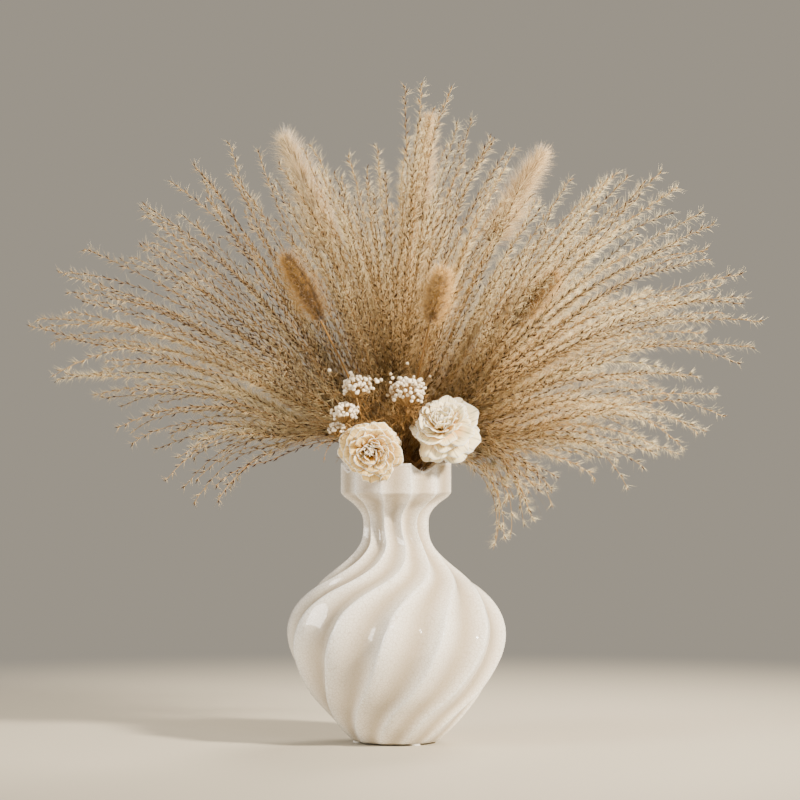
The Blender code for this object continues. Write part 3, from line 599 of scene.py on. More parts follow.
silverGrass = {
    # racemes that reach the whole outline, as side and depth angles
    "leaders": ((-84, 0), (-72, 0), (-61, 0), (-53, 0), (-37, 0), (-24, 0), (2, 0), (11, 0),
                (36, 0), (54, 0), (61, 0), (70, 0), (81, 0), (112, 0), (-4, -34), (-4, 34)),
    # each plume's share of the fan and its culm, as side and depth angles, then how silvery its
    # hairs are and how pale its husks are, from 0 to 1
    "plumes": {
        "silver_grass_left_front": ((-52, -20), (-46, -17), 0.4, 0),
        "silver_grass_left_low": ((-78, 0), (-63, 0), 0.42, 0.02),
        "silver_grass_left_high": ((-40, 0), (-37, 0), 0.4, 0),
        "silver_grass_left_back": ((-52, 21), (-48, 18), 0.36, 0.06),
        "silver_grass_middle_front": ((-2, -20), (-1, -17), 0.35, 0.05),
        "silver_grass_middle": ((0, 0), (0, 0), 0.38, 0.08),
        "silver_grass_middle_back": ((0, 21), (0, 18), 0.38, 0.12),
        "silver_grass_right_front": ((50, -20), (44, -17), 0.44, 0.08),
        "silver_grass_right_high": ((42, 0), (38, 0), 0.5, 0.12),
        "silver_grass_right_low": ((90, 0), (72, 0), 0.6, 0.2),
        "silver_grass_right_back": ((56, 21), (50, 18), 0.5, 0.2),
    },
    # how much duller the hairs get towards a raceme's root, by the culm's side angle
    "fade": ((-40, 0.1), (0, 1.1), (40, 1.25)),
    # hairs beside each husk, and what share of them grows by side angle
    "hairs": 8,
    "hairiness": ((-94, 0.25), (-84, 0.4), (-76, 0.9), (-64, 0.9), (-56, 0.25), (-26, 0.15),
                  (-14, 0.8), (4, 1), (56, 1.05), (72, 1.3), (128, 1.1)),
    # how much hairier the silky racemes are, and those at the very back
    "silkyHairier": 0.5, "backHairier": 0.45,
    # main racemes in rows by depth: degrees between them where the fan reaches this far
    "seed": 7, "rows": 6, "sideStep": 22, "evenReach": 0.230, "scatter": 2, "lengths": (0.85, 0.99),
    "sideSpan": (-92, 128), "depthSpan": (-31.5, 31), "cellFill": 0.9,
    # the stem they branch from: its reach, its bare tip and the length that bears racemes
    "culmTop": 0.112, "culmTip": 0.006, "culmBranched": 0.058, "culmRadius": 1.5 * mm,
    # how early a raceme turns to its own angles, and its share that bears no husks
    "quick": 0.55, "bare": 0.24,
    # finer racemes among them: how many, how crowded by side angle, lengths, where they start
    "finer": 280, "crowding": ((-94, 0), (-84, 0.1), (-74, 0.9), (-66, 1), (-56, 0.7), (-34, 0.8),
                               (-22, 1.6), (-14, 2.8), (-2, 2.4), (10, 1.4), (24, 1.8), (40, 1),
                               (80, 1), (96, 0.6), (118, 0.35)),
    # share of the finer ones that are pale throughout and hairier by half, and how much it grows
    # towards the back
    "silky": 0.5, "silkyBack": 0.3,
    # finer racemes that show at the outline or in front: side and depth angles, share of the full
    # reach, and whether they are silky
    "placed": ((-88, 2, 1, 0), (-79, -8, 0.76, 0), (-75, 6, 1, 0), (-70, -4, 0.9, 0),
               (-67, 3, 0.98, 0), (-65, -3, 1, 1), (-62.5, 5, 0.94, 0), (-59, -6, 0.98, 1),
               (-56.5, 4, 0.93, 0), (-48.5, 2, 1, 0), (-43, -5, 0.9, 0), (-40, -12, 0.97, 1),
               (-38, 4, 1, 0),
               (-32.5, 0, 1, 0), (-30, 6, 0.98, 0), (-20, -4, 0.97, 0), (-13, 4, 1, 1),
               (-7, 0, 1, 1), (-2.5, -5, 0.92, 0), (3, -6, 0.98, 1), (13.5, -4, 0.97, 0),
               (17, 4, 0.98, 1), (27, 0, 0.99, 1), (32.5, 4, 1, 1), (34.5, -4, 0.96, 0),
               (39, 0, 0.99, 1), (43.5, 3, 1, 0), (46.5, -3, 1, 0), (49.5, 4, 0.97, 0),
               (57.5, -4, 0.98, 0), (63, 2, 0.99, 0), (65, -5, 0.97, 0), (67, 4, 0.9, 0),
               (72.5, 0, 1, 0), (76, -4, 1, 1), (78, 4, 1, 1), (84, 0, 1, 1), (99, 0, 1, 0),
               (116, 0, 1, 0), (125, 3, 1, 0), (-52, -26, 0.6, 1), (-49, -29, 0.5, 1),
               (30, -30, 0.55, 1)),
    "finerLengths": (0.66, 1.0), "finerStart": (0.012, 0.075),
    # share of the room round soft heads that the finer ones keep, and degrees their tips nod out
    "finerRoom": 0.28, "nod": 2.5,
    "loose": 0.55, "looseStart": (0.004, 0.012), "looseShare": 0.75,  # finer stems with no culm
    # degrees a raceme sways, how fast, and its radius at root and tip; then the husks along it
    "sway": 0.8, "swayTurns": 7, "rachis": (0.5 * mm, 0.28 * mm),
    "spikeletPitch": 5.2 * mm, "spikeletLength": (6.2 * mm, 8.6 * mm), "spikeletWidth": 0.95 * mm,
    "spikeletLean": (16, 36),
    "hairLength": (9 * mm, 18 * mm), "hairWidth": (0.29 * mm, 0.16 * mm),
    "hairLean": (12, 56), "hairSpray": 22,  # degrees, and how many more at a raceme's tip
    # leaf fibres that gather round each culm in the mouth, a dark mass that partly stands in for
    # the shade between the stems there
    "fibres": 90, "fibreRoot": -0.03, "fibreReach": (0.03, 0.14), "fibreSpread": 17,
    "fibreWidth": 0.65 * mm, "fibreScatter": 1.6 * mm,
}


# The plume whose share of the fan lies nearest to these angles
def plumeOf(side, depth):
    plumes = silverGrass["plumes"]
    return min(plumes, key=lambda name: math.dist(plumes[name][0], (side, depth)))


# Tips of the racemes in staggered rows, plume by plume, and finer ones spread evenly among them
def racemeTips():
    s = silverGrass
    rng = random.Random(s["seed"])
    main = {name: [] for name in s["plumes"]}
    for side, depth in s["leaders"]:
        main[plumeOf(side, depth)].append((side, depth, fullReach(side)))
    for row in range(s["rows"]):
        depth = s["depthSpan"][0] + (s["depthSpan"][1] - s["depthSpan"][0]) * row / (s["rows"] - 1)
        side = s["sideSpan"][0] + s["sideStep"] * (golden * row % 1)
        while side <= s["sideSpan"][1]:
            tip = [angle + rng.uniform(-s["scatter"], s["scatter"]) for angle in (side, depth)]
            name = plumeOf(*tip)
            held = [middle + (end - middle) * s["cellFill"]
                    for middle, end in zip(s["plumes"][name][1], tip)]
            main[name].append((*held, fullReach(held[0]) * rng.uniform(*s["lengths"])))
            side += s["sideStep"] * max(1, s["evenReach"] / fullReach(side))
    finer = {name: [] for name in s["plumes"]}
    sides = np.linspace(*s["sideSpan"], 400)
    weight = fullReach(sides) ** 0.7
    weight *= np.interp(sides, *zip(*s["crowding"]))
    total = np.cumsum(weight) / weight.sum()
    for index in range(s["finer"]):
        side = float(np.interp((index + 0.5) / s["finer"], total, sides))
        depth = s["depthSpan"][0] + (s["depthSpan"][1] - s["depthSpan"][0]) * (golden * index % 1)
        reach = fullReach(side) * rng.uniform(*s["finerLengths"])
        silky = rng.random() < s["silky"] + s["silkyBack"] * depth / s["depthSpan"][1]
        finer[plumeOf(side, depth)].append((side, depth, reach, silky, rng.random()))
    for side, depth, share, silky in s["placed"]:
        finer[plumeOf(side, depth)].append((side, depth, fullReach(side) * share, silky, 0))
    return main, finer


# Where raceme i is at this reach: a blend of an early turn and an even one from its root's angles
# to its tip's, with a slow sway and a nod of the tip, bent clear of the soft heads
def racemePoint(r, i, along):
    start, reach = r["start"][i], r["reach"][i]
    quick = (1 - start / along) / (1 - start / reach)
    even = (along - start) / (reach - start)
    spread = silverGrass["quick"] * quick + (1 - silverGrass["quick"]) * even
    sway = silverGrass["sway"] * even * np.sin(r["phase"][i] + silverGrass["swayTurns"] * even)
    fromSide, fromDepth = r["fromSide"][i], r["fromDepth"][i]
    side = fromSide + (r["side"][i] - fromSide) * spread + sway + r["nod"][i] * even**3
    depth = fromDepth + (r["depth"][i] - fromDepth) * spread - 0.7 * sway
    return fountainPoint(*partAround(side, depth, along, r["room"][i]), along)


# Leaf fibres: from low in the neck each follows the fountain, its angles spreading from the culm's
# with the square of the share of its length
def leafFibres(culm, rng):
    s = silverGrass
    count = s["fibres"]
    share = np.linspace(0, 1, 7)[None]
    top = rng.uniform(*s["fibreReach"], count)[:, None]
    reach = s["fibreRoot"] + (top - s["fibreRoot"]) * share
    beyond = np.maximum(reach, 0)
    spread = s["fibreSpread"] * np.clip(rng.normal(0, 1, (2, count, 1)), -1.3, 1.3) * share**1.5
    curl = 5 * rng.uniform(-1, 1, (2, count, 1)) * np.sin(rng.uniform(3, 9, (count, 1)) * share)
    paths = fountainPoint(culm[0] + spread[0] + curl[0] * share,
                          culm[1] + 0.6 * spread[1] + curl[1] * share, beyond)
    paths[..., 2] += np.minimum(reach, 0)
    paths += rng.normal(0, s["fibreScatter"], (count, 1, 3)) * [1, 1, 0]
    radii = s["fibreWidth"] * (1.05 - share) * np.ones((count, 1))
    return tubes(paths, radii, 3, rng.uniform(0, 1, count))


# Repeats each index its own number of times, and counts within each
def spreadOut(counts):
    index = np.repeat(np.arange(len(counts)), counts)
    return index, np.arange(len(index)) - np.repeat(np.cumsum(counts) - counts, counts)


# A plume is a culm, racemes along their own paths, a husk every few millimetres that leans out by
# turns to either side, and hairs fanned out beside each husk, more of them on a silky raceme
def makeSilverGrass():
    s = silverGrass
    # thin stalks: plain straw, paler outwards
    rachisStraw = strawMaterial("dried grass rachis", bandOf(0, 4), "#664722", "#a3804b", "#5a3d1a",
                                "#b8955c", 0.5, 0.4, 0.55, 0.1)
    # husks: small brown dashes that draw each raceme
    huskBrown = strawMaterial("dried spikelet husk", bandOf(1, 4), "#3b210a", "#b58d57", "#60401a",
                              "#634019", 0.25, 0.1, 0.6, 0.0)
    # hairs: a pale silky haze round the husks
    silkHair = strawMaterial("silky awn hair", bandOf(2, 4), "#be9654", "#ffefbd", "#9b793b",
                             "#fff5d2", 0.4, 0.4, 0.4, 0.25)
    # fibres: a brown tangle above the mouth, partly standing in for the shade between the stems
    # there, and painted darker at its root, painted shade
    leafFibre = strawMaterial("dried leaf fibre", bandOf(3, 4), "#7a5a33", "#b48e56", "#47301a",
                              "#ad8348", 0.85, 0.3, 0.65, 0.0)
    main, finer = racemeTips()
    rng = np.random.default_rng(s["seed"])
    for name, (_, culm, silver, pale) in s["plumes"].items():
        tips = sorted(main[name], key=lambda tip: math.dist(culm, tip[:2]))
        starts = [s["culmTop"] - s["culmTip"] - s["culmBranched"] * k / max(len(tips) - 1, 1)
                  for k in range(len(tips))]
        extra = len(finer[name])
        isFiner = np.arange(len(tips) + extra) >= len(tips)
        starts = np.concatenate([starts, rng.uniform(*s["finerStart"], extra)])
        tips = np.array([(*tip, 0, 0) for tip in tips] + finer[name])
        count = len(tips)
        isLoose = isFiner & (rng.uniform(0, 1, count) < s["loose"])
        isSilky = tips[:, 3] > 0
        fade = np.interp(culm[0], *zip(*s["fade"]))
        back = tips[:, 1] / s["depthSpan"][1]
        starts = np.where(isLoose, rng.uniform(*s["looseStart"], count), starts)
        toTip = np.where(isLoose, s["looseShare"], 0)
        r = {"side": tips[:, 0], "depth": tips[:, 1], "reach": tips[:, 2], "start": starts,
             "fromSide": culm[0] + toTip * (tips[:, 0] - culm[0]),
             "fromDepth": culm[1] + toTip * (tips[:, 1] - culm[1]),
             "phase": rng.uniform(0, 6.28, count),
             "room": np.where(isFiner, s["finerRoom"], 1.0),
             "nod": s["nod"] * tips[:, 4] * np.sign(tips[:, 0])}

        share = np.linspace(0, 1, 22)
        index = np.repeat(np.arange(count)[:, None], len(share), 1)
        along = r["start"][:, None] + (r["reach"] - r["start"])[:, None] * share
        along[:, 0] += 1e-6
        paths = racemePoint(r, index, along)
        radii = s["rachis"][0] + (s["rachis"][1] - s["rachis"][0]) * share[None] + 0 * along
        tone = np.clip(silver + 0.5 * isSilky + rng.uniform(-0.3, 0.3, count), 0, 1)
        lots = [(*tubes(paths, radii, 3, tone), 0)]

        reach = np.concatenate([[fountainShape["foot"] - fountainShape["mouth"]],
                                np.linspace(0, s["culmTop"], 20)])
        flat = np.maximum(reach, 0)
        stem = fountainPoint(*partAround(culm[0] + 0 * flat, culm[1] + 0 * flat, flat), reach)
        taper = s["culmRadius"] * (1 - 0.6 * smoothShare(0.05, s["culmTop"], flat))
        lots.append((*tubes(stem[None], taper[None], 8, np.array([0.3])), 0))

        bare = r["start"] + s["bare"] * np.where(isFiner, 0.3, 0.7) * (r["reach"] - r["start"])
        each = np.maximum(((r["reach"] - bare) / s["spikeletPitch"]).astype(int), 3)
        i, k = spreadOut(each)
        along = bare[i] + (r["reach"] - bare)[i] * (k + 0.6) / each[i]
        share = (along - bare[i]) / (r["reach"] - bare)[i]
        here = racemePoint(r, i, along)
        tangent = unit(racemePoint(r, i, along + 0.5 * mm) - here)
        first, second = acrossOf(tangent)
        turn = math.pi * k + r["phase"][i] + 0.3 * k + rng.normal(0, 0.3, len(i))
        out = towards(first, second, turn)
        way = towards(tangent, out, np.radians(rng.uniform(*s["spikeletLean"], len(i))))
        root = here + out * 0.25 * mm
        length = rng.uniform(*s["spikeletLength"], len(i)) * (1 - 0.25 * share)
        fat = s["spikeletWidth"] * rng.uniform(0.8, 1.2, len(i)) * (1 - 0.3 * share)
        husk = np.clip(pale + 0.5 * isSilky[i] + 0.25 * back[i] + rng.uniform(-0.2, 0.15, len(i)),
                       0, 1)
        lots.append((*husks(root, root + way * length[:, None], fat, husk), 1))

        # the left side's stems are nearly bare but for their tips and the part inside the fan
        bushy = np.exp(rng.normal(-0.06, 0.35, count))
        hairy = np.interp(r["side"], *zip(*s["hairiness"])) * bushy
        hairy *= (1 + s["silkyHairier"] * isSilky) * (1 + s["backHairier"] * back)
        clothed = np.maximum(smoothShare(0.78, 0.95, share), 0.6 * smoothShare(0.5, 0.2, share))
        hairy = hairy[i] + np.maximum(0, 1 - hairy[i]) * clothed
        hairs = np.rint(s["hairs"] * hairy * rng.uniform(0.8, 1.2, len(i))).astype(int)
        j = spreadOut(hairs)[0]
        lean = np.radians(rng.uniform(*s["hairLean"], len(j)) + s["hairSpray"] * share[j])
        out = towards(first[j], second[j], turn[j] + rng.normal(0, 1.0, len(j)))
        way = towards(tangent[j], out, lean)
        length = rng.uniform(*s["hairLength"], len(j)) * (1.15 - 0.5 * share[j])
        root = here[j] + tangent[j] * rng.uniform(-2, 2, len(j))[:, None] * mm
        tone = np.clip(silver + fade * (share[j] - 0.65) + 0.3 * (bushy[i][j] - 1)
                       + rng.uniform(-0.3, 0.3, len(j)), 0, 1)
        fine = s["hairWidth"][0] + (s["hairWidth"][1] - s["hairWidth"][0]) * smoothShare(
            0.2, 0.85, share[j])
        lots.append((*spikes(root, root + way * length[:, None], fine, tone), 2))
        lots.append((*leafFibres(culm, rng), 3))
        buildPiece(name.replace("silver_grass", "grass_plume"), lots,
                   [rachisStraw, huskBrown, silkHair, leafFibre], [name])


makeSilverGrass()


# Bunny tails and reed plumes

# how far the stem runs into the head, the power that blunts the head's ends, and the width of head
# in mm that the lengths of hair below are for
softShape = {"seed": 11, "stemInside": 12 * mm, "blunt": 0.6, "hairsFor": 32}
# hairs, their length and width, the core's share of the head's width, degrees the hairs lean, how
# much shorter they get and how much paler towards the head's tip
softKinds = {
    "bunny": {"hairs": 3400, "hairLength": (5 * mm, 23 * mm), "hairWidth": 0.17 * mm, "core": 0.36,
              "lean": (6, 76), "shorter": 0.35, "paler": 0.3, "material": "downy bunny-tail hair",
              "slot": "bunny_tail"},
    "reed": {"hairs": 4000, "hairLength": (10 * mm, 34 * mm), "hairWidth": 0.22 * mm, "core": 0.12,
             "lean": (14, 72), "shorter": 0.55, "paler": 0.7, "material": "feathery reed hair",
             "slot": "reed_plume"},
}
# colours of each head's hairs: dull, silvery, root and tip, then how much darker its right side is
# painted, as painted shade; below 0 it is the left side
softTones = {
    "bunny_tail_left": ("#5b3a0d", "#bb8b39", "#331d05", "#d2a654", 0.9),
    "bunny_tail_middle": ("#8a5f1c", "#dcad5e", "#53350c", "#eccb8a", 0.2),
    "bunny_tail_right": ("#6a4818", "#b58a48", "#3c2406", "#dcb576", -0.4),
    "reed_plume_left": ("#a8824a", "#e3ca9a", "#7f5f2e", "#fbecd0", 0.3),
    "reed_plume_middle": ("#553610", "#d3ab6a", "#2a1605", "#f6e2b8", 0),
    "reed_plume_right": ("#886530", "#dabb88", "#523712", "#efdab0", 0),
}


# A head's core is a tube whose radius is the sine of the share along it to a power under one, and
# hairs stand from all over it, leaning forward and ending on no one surface
def makeSoftHead(name, hair, paintedSideShade, materials, rng):
    side, depth, middle, length, width, stem = softHeads[name]
    low, high = (middle - length / 2) * mm, (middle + length / 2) * mm
    reach = np.concatenate([[fountainShape["foot"] - fountainShape["mouth"]],
                            np.linspace(0, low + softShape["stemInside"], 22)])
    path = fountainPoint(side + 0 * reach, depth + 0 * reach, reach)
    lots = [(*tubes(path[None], np.full((1, len(reach)), stem * mm), 8, np.array([0.35])), 0)]

    share = np.linspace(0.0, 1, 26)
    swell = np.sin(math.pi * np.clip(share, 0.01, 0.99)) ** softShape["blunt"]
    core = fountainPoint(side + 0 * share, depth + 0 * share, low + (high - low) * share)
    radii = 0.5 * width * mm * hair["core"] * swell
    lots.append((*tubes(core[None], radii[None], 20, np.array([0.1])), 1))

    at = rng.uniform(0.0, 0.97, hair["hairs"])
    place = low + (high - low) * at
    here = fountainPoint(side + 0 * at, depth + 0 * at, place)
    tangent = unit(fountainPoint(side + 0 * at, depth + 0 * at, place + 0.5 * mm) - here)
    first, second = acrossOf(tangent)
    turn = rng.uniform(0, 2 * math.pi, len(at))
    out = towards(first, second, turn)
    swell = 0.5 * width * mm * np.sin(math.pi * np.clip(at, 0.02, 0.98)) ** softShape["blunt"]
    root = here + out * (swell * hair["core"] * rng.uniform(0.7, 1, len(at)))[:, None]
    way = towards(tangent, out, np.radians(rng.uniform(*hair["lean"], len(at))))
    long = rng.uniform(*hair["hairLength"], len(at)) * (1 - hair["shorter"] * at**1.5)
    long *= width / softShape["hairsFor"]
    # painted shade: hairs darker on the head's right side, or on its left where the value is below
    # 0
    tone = rng.uniform(0, 1, len(at)) + hair["paler"] * (at - 0.5) - paintedSideShade * out[:, 0]
    tone = np.clip(tone, 0, 1)
    lots.append((*spikes(root, root + way * long[:, None], hair["hairWidth"] + 0 * long, tone), 1))
    buildPiece(name + "_downy", lots, materials, [name])


# Each head's downy hairs are painted lighter at their thin ends, a painted glow of light through
# them, and darker at their roots, painted shade where they crowd at the core
def makeSoftHeads():
    rng = np.random.default_rng(softShape["seed"])
    stem = strawMaterial("dried grass stem", bandOf(0, 2), "#77562a", "#916d3a", "#553915",
                         "#947240", 0.6, 0.2, 0.6, 0.0)
    for name, (*tones, paintedSideShade) in softTones.items():
        hair = softKinds[name.split("_")[0]]
        downy = strawMaterial(hair["material"], bandOf(1, 2), *tones, 0.6, 0.55, 0.5, 0.3)
        makeSoftHead(name, hair, paintedSideShade, [stem, downy], rng)


makeSoftHeads()


# Sola-wood flowers

solaFlowers = {
    # middle of the head, the way it faces, radius, where its stem stands, then how much longer the
    # petals on one side are and which side, in degrees, and how far the rosette's middle is off, mm
    "heads": {"sola_flower_left": ((-22, -60, 264), (-0.06, -0.98, -0.16), 30, (-6.5, -17),
                                   0.12, -90, (0, 3)),
              "sola_flower_right": ((45, -50, 283), (0.02, -0.80, 0.58), 33, (8, -17),
                                    0.16, -15, (-4, 4))},
    # rings of petals: count, length and width as shares of the radius, rise and added rise, degrees
    "rings": ((7, 1.02, 0.80, -26, -6), (8, 1.00, 0.76, -8, 2), (8, 0.94, 0.70, 8, 4),
              (8, 0.86, 0.62, 20, 6), (8, 0.76, 0.50, 33, 10), (9, 0.67, 0.38, 46, 12),
              (10, 0.60, 0.30, 57, 10), (10, 0.54, 0.26, 66, 8), (9, 0.50, 0.24, 74, 6),
              (8, 0.46, 0.22, 81, 4), (5, 0.42, 0.20, 87, 2)),
    # radius of the ball of pith in mm, a petal's thickness, the waves of its edge, and the degrees
    # it tips sideways, so that one side slips under the next petal
    "core": 6, "thickness": 0.35 * mm, "ripple": 1.3 * mm, "roll": 12, "rows": 7, "columns": 9,
    # degrees by which petals stray from their rise, how much more they do in the middle, where
    # the rise is past these degrees, and how far they turn from facing outwards there
    "stray": 8, "ruffle": 22, "innerRise": (30, 60), "twist": 34,
    # how far out a petal starts, and as shares: its cup, the rounding of its end and its notch
    "seed": 5, "petalRoot": 2.5 * mm, "cup": 0.16, "roundEnd": 0.8, "notch": 0.04,
    # stem: the neck it leaves, how it rises, how it bends in behind the head and where it ends
    "stemRadius": 1.3 * mm, "neck": 0.230, "rise": 0.024, "bend": 0.011, "behind": 9.3 * mm,
}


# Petals of one flower: along its length a petal rises from its root angle to its tip angle; its end
# is half an ellipse, its sides bend into a shallow cup, and its free edge waves slowly
def petalGrids(radius, longer, longSide, rng):
    s = solaFlowers
    grids, tones = [], []
    v = np.linspace(0, 1, s["rows"])[:, None]
    u = np.linspace(-1, 1, s["columns"])[None]
    for ring, (count, length, width, rise, curl) in enumerate(s["rings"]):
        inner = smoothShare(*s["innerRise"], rise)
        for index in range(count):
            turn = 2 * math.pi * (index + 0.5 * (ring % 2) + rng.uniform(-0.34, 0.34)) / count
            lopsided = 1 + longer * math.cos(turn - math.radians(longSide))
            long = (length * radius * rng.uniform(0.84, 1.04) - s["petalRoot"]) * lopsided
            half = 0.5 * width * radius * rng.uniform(0.78, 1.14)
            stray = s["stray"] + s["ruffle"] * inner
            angle = np.radians(rise + rng.uniform(-stray, stray) + curl * 2 * (v - 0.3))
            step = long / (s["rows"] - 1)
            out = s["petalRoot"] + np.cumsum(step * np.cos(angle), 0) - step * np.cos(angle[:1])
            up = np.cumsum(step * np.sin(angle), 0) - step * np.sin(angle[:1])
            spread = half * (0.34 + 0.66 * smoothShare(-0.1, 0.65, v))
            phase, waves = rng.uniform(0, 6.28), rng.uniform(1.8, 4.2)
            wave = s["ripple"] * v**2 * np.sin(waves * u + phase) * rng.uniform(0.4, 1.3)
            cup = s["cup"] * half * u**2 * (0.3 + v) * np.sign(0.3 + rise)
            rounding = (s["roundEnd"] * half * (1 - np.sqrt(1 - 0.94 * u**2))
                        * smoothShare(0.0, 1.0, v))
            notch = s["notch"] * long * v**4 * np.cos(2 * waves * u + 2 * phase)
            x = out - (rounding - notch) * np.cos(angle)
            twist = math.radians(rng.normal(0, s["twist"]) * inner)
            x = x + spread * u * math.sin(twist)
            y = spread * u * math.cos(twist)
            z = up - rounding * np.sin(angle) + cup + wave + ring * 0.5 * mm
            z = z + y * math.sin(math.radians(s["roll"]))
            grids.append(np.stack([x * math.cos(turn) - y * math.sin(turn),
                                   x * math.sin(turn) + y * math.cos(turn), z + 0 * x], -1))
            tones.append(rng.uniform(0, 1) * 0.6 + 0.4 * ring / len(s["rings"]))
    return np.array(grids), np.array(tones)


# Shaved pith of the sola plant: papery and matt, streaked along each petal. Along each petal its
# colour is painted shade, dark brown at the root and the shade colour further in, where the flower
# is hollow, then the face colour, and white at the free edges, partly the pale cut edge and partly
# a painted highlight
def solaPaper(name, paintedShade, face):
    material, tree, shader = newMaterial(name, {
        "Roughness": 0.75, "Specular IOR Level": 0.25, "Subsurface Weight": 0.08,
        "Subsurface Radius": (0.002, 0.0012, 0.0006), "Subsurface Scale": 1.0})
    mapped = addNode(tree, "ShaderNodeUVMap", {"uv_map": "OFBake"})
    parts = addNode(tree, "ShaderNodeSeparateXYZ", links={"Vector": mapped.outputs["UV"]})
    # painted shade at each petal's root, then the face colour, and a white edge that is partly
    # painted highlight
    along = addNode(tree, "ShaderNodeValToRGB", links={"Fac": parts.outputs["Y"]},
                    stops=[(0, "#6a4419"), (0.25, paintedShade), (0.72, face), (0.94, face),
                           (1, "#fffdf4")])
    # a petal is a tenth of u wide and all of v long: some 12 streaks, each about 1.5 mm wide
    stretched = addNode(tree, "ShaderNodeVectorMath", {"operation": "MULTIPLY"}, {1: (120, 1.2, 1)},
                        {0: mapped.outputs["UV"]})
    fibre = addNode(tree, "ShaderNodeTexNoise", values={"Scale": 1, "Detail": 3},
                    links={"Vector": stretched.outputs["Vector"]})
    shade = addNode(tree, "ShaderNodeMapRange", values={
        "From Min": 0.36, "From Max": 0.5, "To Min": 0.55, "To Max": 1.05},
        links={"Value": fibre.outputs["Fac"]})
    colour = addNode(tree, "ShaderNodeMix", {"data_type": "RGBA", "blend_type": "MULTIPLY"},
                     {"Factor": 1}, {"A": along.outputs["Color"], "B": shade.outputs["Result"]})
    bump = addNode(tree, "ShaderNodeBump", values={"Strength": 0.6, "Distance": 0.4 * mm},
                   links={"Height": fibre.outputs["Fac"]})
    tree.links.new(colour.outputs["Result"], shader.inputs["Base Color"])
    tree.links.new(bump.outputs["Normal"], shader.inputs["Normal"])
    return material


# A head's own axes: facing, and two directions across it
def axesOf(facing):
    facing = unit(np.array(facing, float))
    first = unit(np.cross([0, 0, 1.0], facing))
    return np.stack([first, np.cross(facing, first), facing])


# Each flower is a ball of pith with rings of petals round it. Its stem goes straight up to the neck
# and on along a cubic with two inner points, one above the neck and one behind the head
def makeSolaFlowers():
    s = solaFlowers
    rng = np.random.default_rng(s["seed"])
    papers = {"sola_flower_left": solaPaper("shaved sola pith, tan", "#bd883b", "#f0d08c"),
              "sola_flower_right": solaPaper("shaved sola pith, pale", "#e9bd76", "#fff1c8")}
    # reed: an even tan stick
    reed = strawMaterial("dried reed stem", bandOf(0, 1), "#8a6a3f", "#a48353", "#6d5130",
                         "#a2814f", 0.3, 0.2, 0.6, 0.0)
    for name, (middle, facing, radius, stand, longer, longSide, off) in s["heads"].items():
        axes = axesOf(facing)
        middle = np.array(middle) * mm
        grids, tones = petalGrids(radius * mm, longer, longSide, rng)
        rosette = middle + (off[0] * axes[0] + off[1] * axes[1]) * mm
        grids = rosette + grids @ axes
        lots = [(*closedSheets(grids, s["thickness"], tones), 0)]
        lots.append((*balls(middle[None], np.array([s["core"] * mm]), 3, np.array([0.2])), 0))
        buildPiece(name + "_shaved", lots, [papers[name]], [name])

        behind = middle - axes[2] * s["behind"]
        neck = np.array([stand[0] * mm, stand[1] * mm, s["neck"]])
        risen, bend = neck + [0, 0, s["rise"]], behind - axes[2] * s["bend"]
        t = np.linspace(0, 1, 18)[:, None]
        curve = (neck * (1 - t) ** 3 + risen * 3 * t * (1 - t) ** 2 + bend * 3 * t * t * (1 - t)
                 + behind * t**3)
        foot = np.array([[stand[0] * mm, stand[1] * mm, fountainShape["foot"]]])
        path = np.concatenate([foot, curve])
        stem = (*tubes(path[None], np.full((1, len(path)), s["stemRadius"]), 10,
                       np.array([0.5])), 0)
        buildPiece(name + "_reed", [stem], [reed], [name + "_stem"])


makeSolaFlowers()


# Bud sprays

budSprays = {
    # where the stem stands, its fork, then each head's middle and radius in mm and its buds
    "sprays": {
        "bud_spray_left": ((-13, -15), (-27, -36, 276),
                           (((-35, -66, 323), 14, 68), ((-45, -63, 300), 13, 60),
                            ((-53, -50, 285), 8.5, 26))),
        "bud_spray_right": ((1.5, -18), (5, -34, 282), (((11, -56, 318), 18.5, 96),)),
    },
    # height up to which stems are straight, how far they and the branches arch, and their radii
    "seed": 3, "neck": 0.232, "arch": 0.004, "stem": 1.0 * mm, "branch": 0.7 * mm,
    # buds sit from the head's top down to this share of its radius below its middle
    "seat": 0.84, "lowest": -0.55, "budRadius": (1.2 * mm, 2.0 * mm), "twig": 0.32 * mm,
    "wisps": 110, "wispLength": (16 * mm, 42 * mm), "wispCurl": 0.45, "wisp": 0.3 * mm,
    "loneBuds": 14, "bristles": 9, "bristleLength": (2, 6), "bristle": 0.28 * mm,
}


# Wisps: fine dead twigs that leave the stems at given points and curl away, each with a few
# bristles and some with a lone bud at the end. The path is the start, plus its direction times the
# share along it, plus a curl with the square of that share
def wispsFrom(starts, rng):
    s = budSprays
    count = len(starts)
    share = np.linspace(0, 1, 6)[None, :, None]
    way = unit(rng.normal(0, 1, (count, 3)) + [0, -0.2, 0.75])
    curl = unit(np.cross(way, rng.normal(0, 1, (count, 3))))
    length = rng.uniform(*s["wispLength"], count)[:, None, None]
    curl *= s["wispCurl"]
    paths = starts[:, None] + length * (way[:, None] * share + curl[:, None] * share**2)
    radii = s["wisp"] * (1.1 - 0.7 * share[..., 0]) * np.ones((count, 1))
    tone = rng.uniform(0, 1, count)
    lots = [tubes(paths, radii, 3, tone)]
    bristle = spreadOut(np.full(count, s["bristles"]))[0]
    at = rng.uniform(0.25, 1, len(bristle))[:, None]
    base = starts[bristle] + length[bristle, 0] * (way[bristle] * at + curl[bristle] * at**2)
    out = unit(way[bristle] + rng.normal(0, 0.8, (len(bristle), 3)))
    tip = base + out * rng.uniform(*s["bristleLength"], len(bristle))[:, None] * mm
    lots.append(spikes(base, tip, np.full(len(bristle), s["bristle"]), tone[bristle]))
    ends = paths[np.argsort(-paths[:, -1, 2])[:s["loneBuds"]], -1]
    return lots, balls(ends, rng.uniform(*s["budRadius"], len(ends)), 2, tone[:len(ends)], 0.06)


